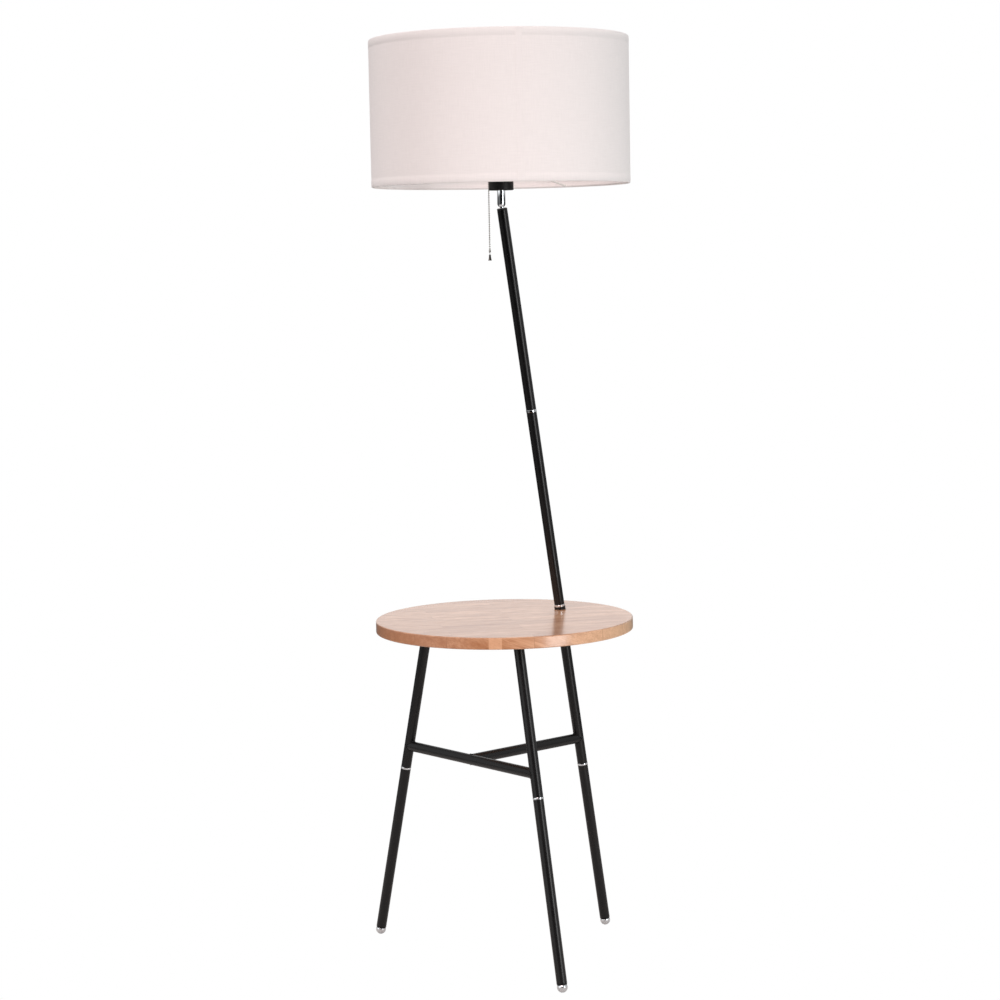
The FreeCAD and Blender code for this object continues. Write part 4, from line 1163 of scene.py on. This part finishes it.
@dataclass
class Head:
    """Swivel housing, socket shell, shade ring and bulb of the lamp head."""

    stance: Stance
    housing_radius: float = 6.3
    housing_mouth: float = 4.35
    housing_bore: float = 5.1
    housing_low: float = -3.2
    cup_low: float = 21.5
    cup_top: float = 45.5
    shell_radius: float = 17.4
    shell_bore: float = 15.0
    shell_top: float = 79.5
    spigot_radius: float = 17.2
    spigot_length: float = 3.0
    shoulder_radius: float = 22.0
    shoulder_low: float = 57.5
    shoulder_height: float = 2.5
    hub_high: float = 61.6
    thread_pitch: float = 2.6
    thread_depth: float = 0.55
    ring_bore: float = 17.5
    ring_radius: float = 23.0
    ring_height: float = 6.0
    grooves: int = 24
    groove_share: float = 0.028
    cap_tip: float = 53.7
    cap_tip_radius: float = 4.0
    cap_radius: float = 13.0
    cap_thread_low: float = 59.9
    cap_pitch: float = 3.6
    cap_turns: int = 4
    glass_low: float = 78.9
    glass_wall: float = 0.8
    bulb_centre: float = 127.7
    bulb_radius: float = 30.0
    swell_radius: float = 28.4
    swell_height: float = 40.0

    def housing(self) -> bmesh.types.BMesh:
        """Chrome housing with its tapered mouth and a rounded upper edge.

        Returns:
            The housing in the head's frame.
        """
        outer, low, high = self.housing_radius, self.housing_low, self.cup_low
        mouth, bore = self.housing_mouth, self.housing_bore
        outline = [
            (mouth, low), (mouth + 0.25, low), (outer - 0.25, low + 2.75), (outer, low + 3.2),
            (outer, high - 0.3), (outer - 0.2, high), (bore, high), (bore - 0.05, -0.6),
        ]
        return lathe(outline, 96)

    def threaded(self, low: float, high: float, radius: float) -> list[tuple[float, float]]:
        """Wavy side of a moulded thread.

        Args:
            low: Start of the thread.
            high: End of the thread.
            radius: Outer radius of the thread.

        Returns:
            Corners from low to high.
        """
        corners = []
        root = radius - self.thread_depth
        turns = int((high - low) / self.thread_pitch)
        for turn in range(turns):
            start = low + turn * self.thread_pitch
            corners += [(root, start), (root, start + 0.7)]
            corners += [(radius, start + 1.1), (radius, start + 1.9)]
        return corners + [(root, low + turns * self.thread_pitch)]

    def shell(self) -> bmesh.types.BMesh:
        """Socket shell: spigot in the cup, shoulder and the thread for the shade ring.

        Returns:
            The shell in the head's frame.
        """
        bore, radius, top = self.shell_bore, self.shell_radius, self.shell_top
        spigot, start, rest = self.spigot_radius, self.cup_top - self.spigot_length, self.cup_top
        shoulder, low = self.shoulder_radius, self.shoulder_low
        high = low + self.shoulder_height
        outline = [
            (bore, start), (spigot, start), (spigot, rest), (radius, rest + 0.2), (radius, low),
            (shoulder - 0.4, low), (shoulder, low + 0.4), (shoulder, high), (radius, high),
        ]
        outline += self.threaded(high + 2.0, top - 1.5, radius)
        outline += [(radius - self.thread_depth, top - 0.4), (radius - 1.0, top), (bore, top)]
        return lathe(outline, 96)

    def shade_ring(self) -> bmesh.types.BMesh:
        """Moulded ring with finger grooves round its rim.

        Returns:
            The ring in the head's frame.
        """
        low, high = self.hub_high, self.hub_high + self.ring_height
        bore, rim = self.ring_bore, self.ring_radius
        outline = [(bore, low), (rim - 0.7, low), (rim, low + 0.6)]
        outline += [(rim, high - 0.8), (rim - 0.6, high), (bore, high)]
        ring = lathe(outline, 6 * self.grooves)
        for corner in ring.verts:
            if math.hypot(corner.co.x, corner.co.y) > (rim - 1) * MM:
                turn = math.atan2(corner.co.y, corner.co.x)
                dip = 1 - self.groove_share * max(math.sin(turn * self.grooves), 0)
                corner.co.x *= dip
                corner.co.y *= dip
        return ring

    def bulb_cap(self) -> bmesh.types.BMesh:
        """Screw cap of the bulb with a rolled thread and an insulated tip.

        Returns:
            The cap in the head's frame.
        """
        tip, button = self.cap_tip, self.cap_tip_radius
        crest, high = self.cap_radius, self.glass_low
        outline = [(0, tip), (button, tip), (button, tip + 1.9), (8.5, tip + 2.9)]
        outline += [(crest - 1.0, tip + 5.5)]
        for turn in range(self.cap_turns):
            start = self.cap_thread_low + turn * self.cap_pitch
            outline += [(crest - 0.8, start), (crest - 0.3, start + 0.8), (crest, start + 1.6)]
            outline += [(crest - 0.3, start + 2.4), (crest - 0.8, start + 3.2)]
        return lathe(outline + [(crest - 0.1, high - 2.9), (crest, high), (0, high)])

    def bulb_glass(self) -> bmesh.types.BMesh:
        """Pear of the bulb, a smooth neck that swells into a ball.

        Returns:
            The glass in the head's frame.
        """
        centre, radius = self.bulb_centre, self.bulb_radius
        neck, low = self.cap_radius, self.glass_low
        outer = [(neck, low)]
        for share in (0.15, 0.3, 0.45, 0.6, 0.75, 0.9):
            swell = share * share * (3 - 2 * share)
            across = neck + (self.swell_radius - neck) * swell * 0.93
            outer.append((across, low + self.swell_height * share))
        for step in range(13):
            turn = math.radians(-18 + 108 * step / 12)
            outer.append((radius * math.cos(turn), centre + radius * math.sin(turn)))
        outer[-1] = (0, centre + radius)
        wall = self.glass_wall
        inner = [(max(across - wall, 0), min(up, outer[-1][1] - wall)) for across, up in outer]
        return lathe(outer + inner[::-1])

    def build(self) -> None:
        """Make the pieces of the head."""
        for name, shape, slot, node in (
            ("swivel_sleeve", self.housing(), Slot.CHROME, "swivel_housing"),
            ("threaded_socket_shell", self.shell(), Slot.PLASTIC, "socket_shell"),
            ("grooved_shade_ring", self.shade_ring(), Slot.PLASTIC, "shade_ring"),
            ("rolled_bulb_cap", self.bulb_cap(), Slot.NICKEL, "bulb_cap"),
            ("blown_bulb", self.bulb_glass(), Slot.GLASS, "bulb_glass"),
        ):
            shape = placed(shape, self.stance.head())
            dressed(name, shape, slot, Body.HEAD, stands_for=[node])


@dataclass
class PullChain:
    """Barrel and bell at the lower end of the pull chain."""

    stance: Stance
    lever_tip_x: float = 29.3
    lever_height: float = 40.5
    barrel_high: float = -108.8
    barrel_low: float = -113.8
    bell_high: float = -116.6
    bell_low: float = -125.9

    def frame(self) -> Matrix:
        """Frame at the lever's tip."""
        tip = point_mm(-self.lever_tip_x, 0, self.lever_height)
        return self.stance.head() @ Matrix.Translation(tip)

    def barrel(self) -> bmesh.types.BMesh:
        """Crimped barrel with rounded ends and two grooves.

        Returns:
            The barrel in the lamp's frame.
        """
        low, high = self.barrel_low, self.barrel_high
        outline = [
            (0, low), (1.0, low), (1.5, low + 0.4), (1.6, low + 1.2), (1.35, low + 1.7),
            (1.6, low + 2.2), (1.6, high - 2.2), (1.35, high - 1.7), (1.6, high - 1.2),
            (1.5, high - 0.4), (1.0, high), (0, high),
        ]
        return placed(lathe(outline, 36), self.frame())

    def bell(self) -> bmesh.types.BMesh:
        """Hollow bell with a collar, a flared lip and its wire loop.

        Returns:
            The bell in the lamp's frame.
        """
        low, high = self.bell_low, self.bell_high
        outline = [
            (0.35, self.barrel_low), (0, self.barrel_low), (0, low + 2.4), (1.6, low + 1.6),
            (2.2, low), (2.55, low), (2.7, low + 0.35), (2.45, low + 1.3), (1.95, low + 3.4),
            (1.65, low + 5.8), (1.5, low + 7.4), (1.75, low + 7.7), (1.75, low + 8.3),
            (1.3, high - 0.4), (0.7, high), (0.35, high + 0.2),
        ]
        return placed(lathe(outline, 48), self.frame())

    def build(self) -> None:
        """Make the barrel and the bell."""
        barrel = self.barrel()
        dressed("crimped_barrel", barrel, Slot.NICKEL, Body.CHAIN, stands_for=["chain_connector"])
        dressed("chain_bell", self.bell(), Slot.GUNMETAL, Body.CHAIN, stands_for=["bell_pull"])


@dataclass
class DrumShade:
    """Fabric drum with rolled hems over its wire rings, and the overlap seam."""

    stance: Stance
    radius: float = 198.4
    sheet: float = 1.0
    low: float = 28.5
    high: float = 250.8
    wire_path: float = 195.8
    wire_from_rim: float = 2.5
    roll_radius: float = 1.9
    hem: float = 11.0
    seam_turn_degrees: float = -34.0
    seam_width: float = 10.0
    steps: int = 192
    wall_parts: int = 11

    def half_outline(self, rim: float, way: int) -> list[tuple[float, float]]:
        """Outline of one rim from the outer wall over the roll to the inner wall.

        Args:
            rim: Height of the rim.
            way: One where the drum goes on downward from this rim, minus one upward.

        Returns:
            Corners as (radius, height).
        """
        outer = self.radius
        corners = [
            (outer - 0.05, rim - way * (self.hem + 3.0)),
            (outer - 0.2, rim - way * (self.hem + 0.6)), (outer + 0.1, rim - way * self.hem),
            (outer + 0.15, rim - way * (self.hem * 0.5)), (outer - 0.1, rim - way * 1.6),
            (outer - 0.7, rim - way * 0.5), (outer - 1.5, rim - way * 0.15),
        ]
        centre = rim - way * self.wire_from_rim
        for step in range(9):
            turn = math.radians(75 + 185 * step / 8)
            across = self.wire_path + self.roll_radius * math.cos(turn)
            corners.append((across, centre + way * self.roll_radius * math.sin(turn)))
        corners.append((outer - self.sheet - 0.4, rim - way * (self.hem - 3.5)))
        corners.append((outer - self.sheet, rim - way * (self.hem - 3.0)))
        return corners

    def wall(self, top: float, bottom: float, radius: float) -> list[tuple[float, float]]:
        """Points of a plain wall between two heights, without its ends."""
        parts = self.wall_parts
        return [(radius, top + (bottom - top) * part / parts) for part in range(1, parts)]

    def cover(self) -> bmesh.types.BMesh:
        """Drum of laminated fabric with both rims rolled over their wires.

        Returns:
            The drum in the lamp's frame.
        """
        upper = self.half_outline(self.high, 1)
        lower = self.half_outline(self.low, -1)
        outline = upper
        outline += self.wall(upper[-1][1], lower[-1][1], self.radius - self.sheet)
        outline += lower[::-1]
        outline += self.wall(lower[0][1], upper[0][1], self.radius - 0.05)
        cover = lathe(outline, self.steps)
        self.unroll(cover)
        return placed(cover, self.stance.head())

    def unroll(self, cover: bmesh.types.BMesh) -> None:
        """Give each face its place on the flat sheet, in metres.

        Args:
            cover: Mesh round the Z axis.
        """
        layer = cover.loops.layers.uv.new("UVMap")
        for face in cover.faces:
            middle = face.calc_center_median()
            mean = math.atan2(middle.y, middle.x)
            for loop in face.loops:
                spot = loop.vert.co
                turn = math.atan2(spot.y, spot.x)
                turn -= FULL_TURN * round((turn - mean) / FULL_TURN)
                loop[layer].uv = (turn * self.radius * MM, spot.z)

    def seam(self) -> bmesh.types.BMesh:
        """Strip where one end of the sheet laps over the other.

        Returns:
            The strip in the lamp's frame.
        """
        low, high = self.low + 1.2, self.high - 1.2
        start = math.radians(self.seam_turn_degrees)
        strip = bmesh.new()
        corners = [(self.radius - 0.3, low), (self.radius + 0.4, low)]
        corners += [(self.radius + 0.4, high), (self.radius - 0.3, high)]
        way = Vector((math.cos(start), math.sin(start), 0))
        points = [way * across * MM + Vector((0, 0, up * MM)) for across, up in corners]
        face = strip.faces.new([strip.verts.new(point) for point in points])
        bmesh.ops.spin(
            strip,
            geom=[face] + strip.edges[:] + strip.verts[:],
            cent=(0, 0, 0),
            axis=(0, 0, 1),
            angle=self.seam_width / self.radius,
            steps=6,
        )
        bmesh.ops.remove_doubles(strip, verts=strip.verts, dist=MERGE_DISTANCE)
        bmesh.ops.holes_fill(strip, edges=strip.edges, sides=0)
        bmesh.ops.recalc_face_normals(strip, faces=strip.faces)
        self.unroll(strip)
        return placed(strip, self.stance.head())

    def build(self) -> None:
        """Make the cover and its seam."""
        drum = self.cover()
        cover = dressed("laminated_drum", drum, Slot.FABRIC, Body.HEAD, stands_for=["shade_cover"])
        seam = dressed("overlap_seam", self.seam(), Slot.FABRIC, Body.HEAD)


@dataclass
class Spider:
    """Weld spots that join the spider's arms to its hub and to the lower wire ring."""

    stance: Stance
    arm_turn_degrees: float = 107.0
    arms: int = 3
    hub_edge: float = 25.6
    hub_height: float = 60.8
    ring_path: float = 194.6
    ring_height: float = 31.2
    spot_radius: float = 2.1
    spot_shape: tuple[float, float, float] = (1.25, 0.9, 0.62)

    def build(self) -> None:
        """Make one flattened weld spot at each end of each arm."""
        spots = []
        ends = ((self.hub_edge, self.hub_height), (self.ring_path, self.ring_height))
        for arm in range(self.arms):
            turn = math.radians(self.arm_turn_degrees + 360 * arm / self.arms)
            outward = Vector((math.cos(turn), math.sin(turn), 0))
            for across, up in ends:
                spot = bmesh.new()
                bmesh.ops.create_icosphere(spot, subdivisions=3, radius=self.spot_radius * MM)
                bmesh.ops.scale(spot, vec=self.spot_shape, verts=spot.verts)
                place = Matrix.Translation(outward * across * MM + Vector((0, 0, up * MM)))
                spots.append(placed(spot, place @ Matrix.Rotation(turn, 4, "Z")))
        whole = placed(joined(spots), self.stance.head())
        dressed("spider_weld_spots", whole, Slot.ENAMEL, Body.HEAD)


def dress_solids(frame: dict) -> None:
    """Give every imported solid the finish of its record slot.

    Args:
        frame: What the frame's loader returned.
    """
    slots = {row["node"]: row["material_slot"] for row in frame["record"]["subparts"]}
    for name, node in frame["nodes"].items():
        finish = SLOT_FINISHES[Slot(slots[name])].material()
        if not node.data.materials:
            node.data.materials.append(finish)
        for place in node.material_slots:
            place.material = finish


Stops = Sequence[tuple[float, float]]


@dataclass(frozen=True)
class Panel:
    """Very soft light from high up."""

    name: str
    turn_degrees: float
    rise_degrees: float
    power: float
    colour: tuple[float, float, float]
    glossy: bool
    width_degrees: float = 40.0


@dataclass
class Studio:
    """Camera, pale floor, soft lights and a backdrop.

    Directions are angles on the floor plan, to the right of the camera. Each backdrop list
    holds the cosine of the angle to a direction, and the brightness there.
    """

    distance: float = 3.67452
    height: float = 1.09034
    azimuth_degrees: float = 49.1407
    pitch_degrees: float = 5.821
    roll_degrees: float = -1.1209
    side_step: float = 0.00013
    aim_y: float = -0.01125
    focal_pixels: float = 2383.29
    image_pixels: float = 1000.0
    sensor: float = 36.0
    far_end: float = 200.0
    floor_radius: float = 1.5
    panels: tuple[Panel, ...] = (
        Panel("front_panel", -22, 40, 1.75, (1.0, 0.82, 0.79), True),
        Panel("back_panel", 160, 40, 0.6, (1.0, 1.0, 1.0), False),
    )
    key_turn_degrees: float = 45
    key_reach: float = 2.6
    key_height: float = 0.35
    key_size: tuple[float, float] = (0.85, 2.2)
    key_power: float = 34
    key_aim_height: float = 0.8
    room: Stops = (
        (-0.96, 0.9), (-0.88, 0.4), (-0.6, 0.45), (-0.3, 0.72),
        (0, 0.72), (0.5, 0.6), (0.8, 0.25), (0.95, 0.08),
    )
    card_turn_degrees: float = -60
    card: Stops = ((0.86, 0), (0.92, 1))
    flag_turn_degrees: float = -13
    flag: Stops = ((0.9, 1), (0.94, 0.2), (0.97, 0.02))
    ground: Stops = ((0, 1), (0.15, 0.15), (1, 0.1))

    def across_floor(self, turn_degrees: float) -> Vector:
        """Level direction from the lamp, turned to the right of the camera by an angle."""
        turn = math.radians(self.azimuth_degrees - 90 + turn_degrees)
        return Vector((math.cos(turn), math.sin(turn), 0))

    def shown(self, name: str, data: bpy.types.ID, frame: Matrix) -> bpy.types.Object:
        """Put a camera, a light or a mesh in the scene.

        Args:
            name: Name of the new object.
            data: What the object holds.
            frame: Its place and angle.

        Returns:
            The object.
        """
        thing = bpy.data.objects.new(name, data)
        bpy.context.scene.collection.objects.link(thing)
        thing.matrix_world = frame
        return thing

    def camera(self) -> None:
        """Camera at the photograph's place and angle."""
        azimuth = math.radians(self.azimuth_degrees)
        pitch = math.radians(self.pitch_degrees)
        roll = math.radians(self.roll_degrees)
        forward = Vector((-math.sin(azimuth), math.cos(azimuth), 0))
        level = Vector((math.cos(azimuth), math.sin(azimuth), 0))
        ahead = forward * math.cos(pitch) - Vector((0, 0, math.sin(pitch)))
        above = level.cross(ahead)
        right = math.cos(roll) * level + math.sin(roll) * above
        up = -math.sin(roll) * level + math.cos(roll) * above
        place = Vector((0, self.aim_y, self.height))
        place += level * self.side_step - forward * self.distance
        data = bpy.data.cameras.new("studio_camera")
        data.sensor_width = self.sensor
        data.lens = self.sensor * self.focal_pixels / self.image_pixels
        data.clip_end = self.far_end
        turn = Matrix((right, up, -ahead)).transposed().to_4x4()
        camera = self.shown("studio_camera", data, Matrix.Translation(place) @ turn)
        bpy.context.scene.camera = camera

    def floor(self) -> None:
        """Round pale floor. It only reflects, because the photograph's ground is plain white."""
        shape = bmesh.new()
        bmesh.ops.create_circle(shape, cap_ends=True, segments=96, radius=self.floor_radius)
        mesh = bpy.data.meshes.new("studio_floor")
        shape.to_mesh(mesh)
        shape.free()
        mesh.materials.append(STUDIO_FLOOR.material())
        floor = self.shown("studio_floor", mesh, Matrix.Identity(4))
        floor.visible_camera = False

    def key_box(self) -> None:
        """Tall soft box that draws the bright line down the tubes."""
        place = self.across_floor(self.key_turn_degrees) * self.key_reach
        place.z = self.key_height
        data = bpy.data.lights.new("key_box", "AREA")
        data.shape = "RECTANGLE"
        data.size, data.size_y = self.key_size
        data.energy = self.key_power
        turn = (Vector((0, 0, self.key_aim_height)) - place).to_track_quat("-Z", "Y")
        frame = Matrix.Translation(place) @ turn.to_matrix().to_4x4()
        self.shown("key_box", data, frame).visible_camera = False

    def panel(self, panel: Panel) -> None:
        """Hang one soft panel.

        Args:
            panel: What to hang.
        """
        rise = math.radians(panel.rise_degrees)
        way = self.across_floor(panel.turn_degrees) * math.cos(rise)
        way.z = math.sin(rise)
        data = bpy.data.lights.new(panel.name, "SUN")
        data.energy = panel.power
        data.angle = math.radians(panel.width_degrees)
        data.color = panel.colour
        frame = (-way).to_track_quat("-Z", "Y").to_matrix().to_4x4()
        self.shown(panel.name, data, frame).visible_glossy = panel.glossy

    def ramp(self, on: Bench, way: Vector, stops: Stops) -> Socket:
        """Brightness that depends on how near a direction is to a given one.

        Args:
            on: Nodes of the surroundings.
            way: The given direction.
            stops: Cosine of the angle between them, and the brightness there.

        Returns:
            The colour.
        """
        both = {0: on.add("ShaderNodeTexCoord", {}).outputs["Generated"], 1: tuple(way)}
        facing = on.add("ShaderNodeVectorMath", both, operation="DOT_PRODUCT").outputs["Value"]
        node = on.add("ShaderNodeValToRGB", {0: on.spread(facing, 0.0, 1.0, -1.0, 1.0)})
        elements = node.color_ramp.elements
        elements.remove(elements[-1])
        for number, (cosine, value) in enumerate(stops):
            place = (cosine + 1) / 2
            element = elements.new(place) if number else elements[0]
            element.position = place
            element.color = (value, value, value, 1)
        return node.outputs["Color"]

    def backdrop(self) -> None:
        """Plain white for the camera. Gloss sees a pale room that is dark round the camera.

        A white card stands on the left, a dark flag beside the camera, and little light
        comes from below the floor's rim.
        """
        world = bpy.data.worlds.new("studio_world")
        world.use_nodes = True
        world.node_tree.nodes.clear()
        on = Bench(world.node_tree)
        light = self.ramp(on, self.across_floor(0), self.room)
        flag = self.ramp(on, self.across_floor(self.flag_turn_degrees), self.flag)
        card = self.ramp(on, self.across_floor(self.card_turn_degrees), self.card)
        ground = self.ramp(on, Vector((0, 0, -1)), self.ground)
        for other, way in ((flag, "MULTIPLY"), (card, "ADD"), (ground, "MULTIPLY")):
            light = on.blended(1.0, light, other, way)
        seen = on.add("ShaderNodeLightPath", {}).outputs["Is Camera Ray"]
        shown = on.blended(seen, light, (1, 1, 1, 1))
        back = on.add("ShaderNodeBackground", {"Color": shown, "Strength": 1.0})
        on.add("ShaderNodeOutputWorld", {"Surface": back.outputs[0]})
        bpy.context.scene.world = world
        bpy.context.scene.view_settings.view_transform = "Standard"

    def build(self) -> None:
        """Make the studio."""
        self.camera()
        self.floor()
        self.backdrop()
        for panel in self.panels:
            self.panel(panel)
        self.key_box()


def main() -> None:
    """Load the solids, dress them and set the studio up."""
    for spare in list(bpy.data.objects):
        bpy.data.objects.remove(spare)
    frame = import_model()
    dress_solids(frame)
    stance = Stance()
    for part in (
        Tripod(stance),
        Pole(stance),
        Head(stance),
        PullChain(stance),
        DrumShade(stance),
        Spider(stance),
        Studio(),
    ):
        LOG.info("building %s", type(part).__name__)
        part.build()


if __name__ == "__main__":
    main()
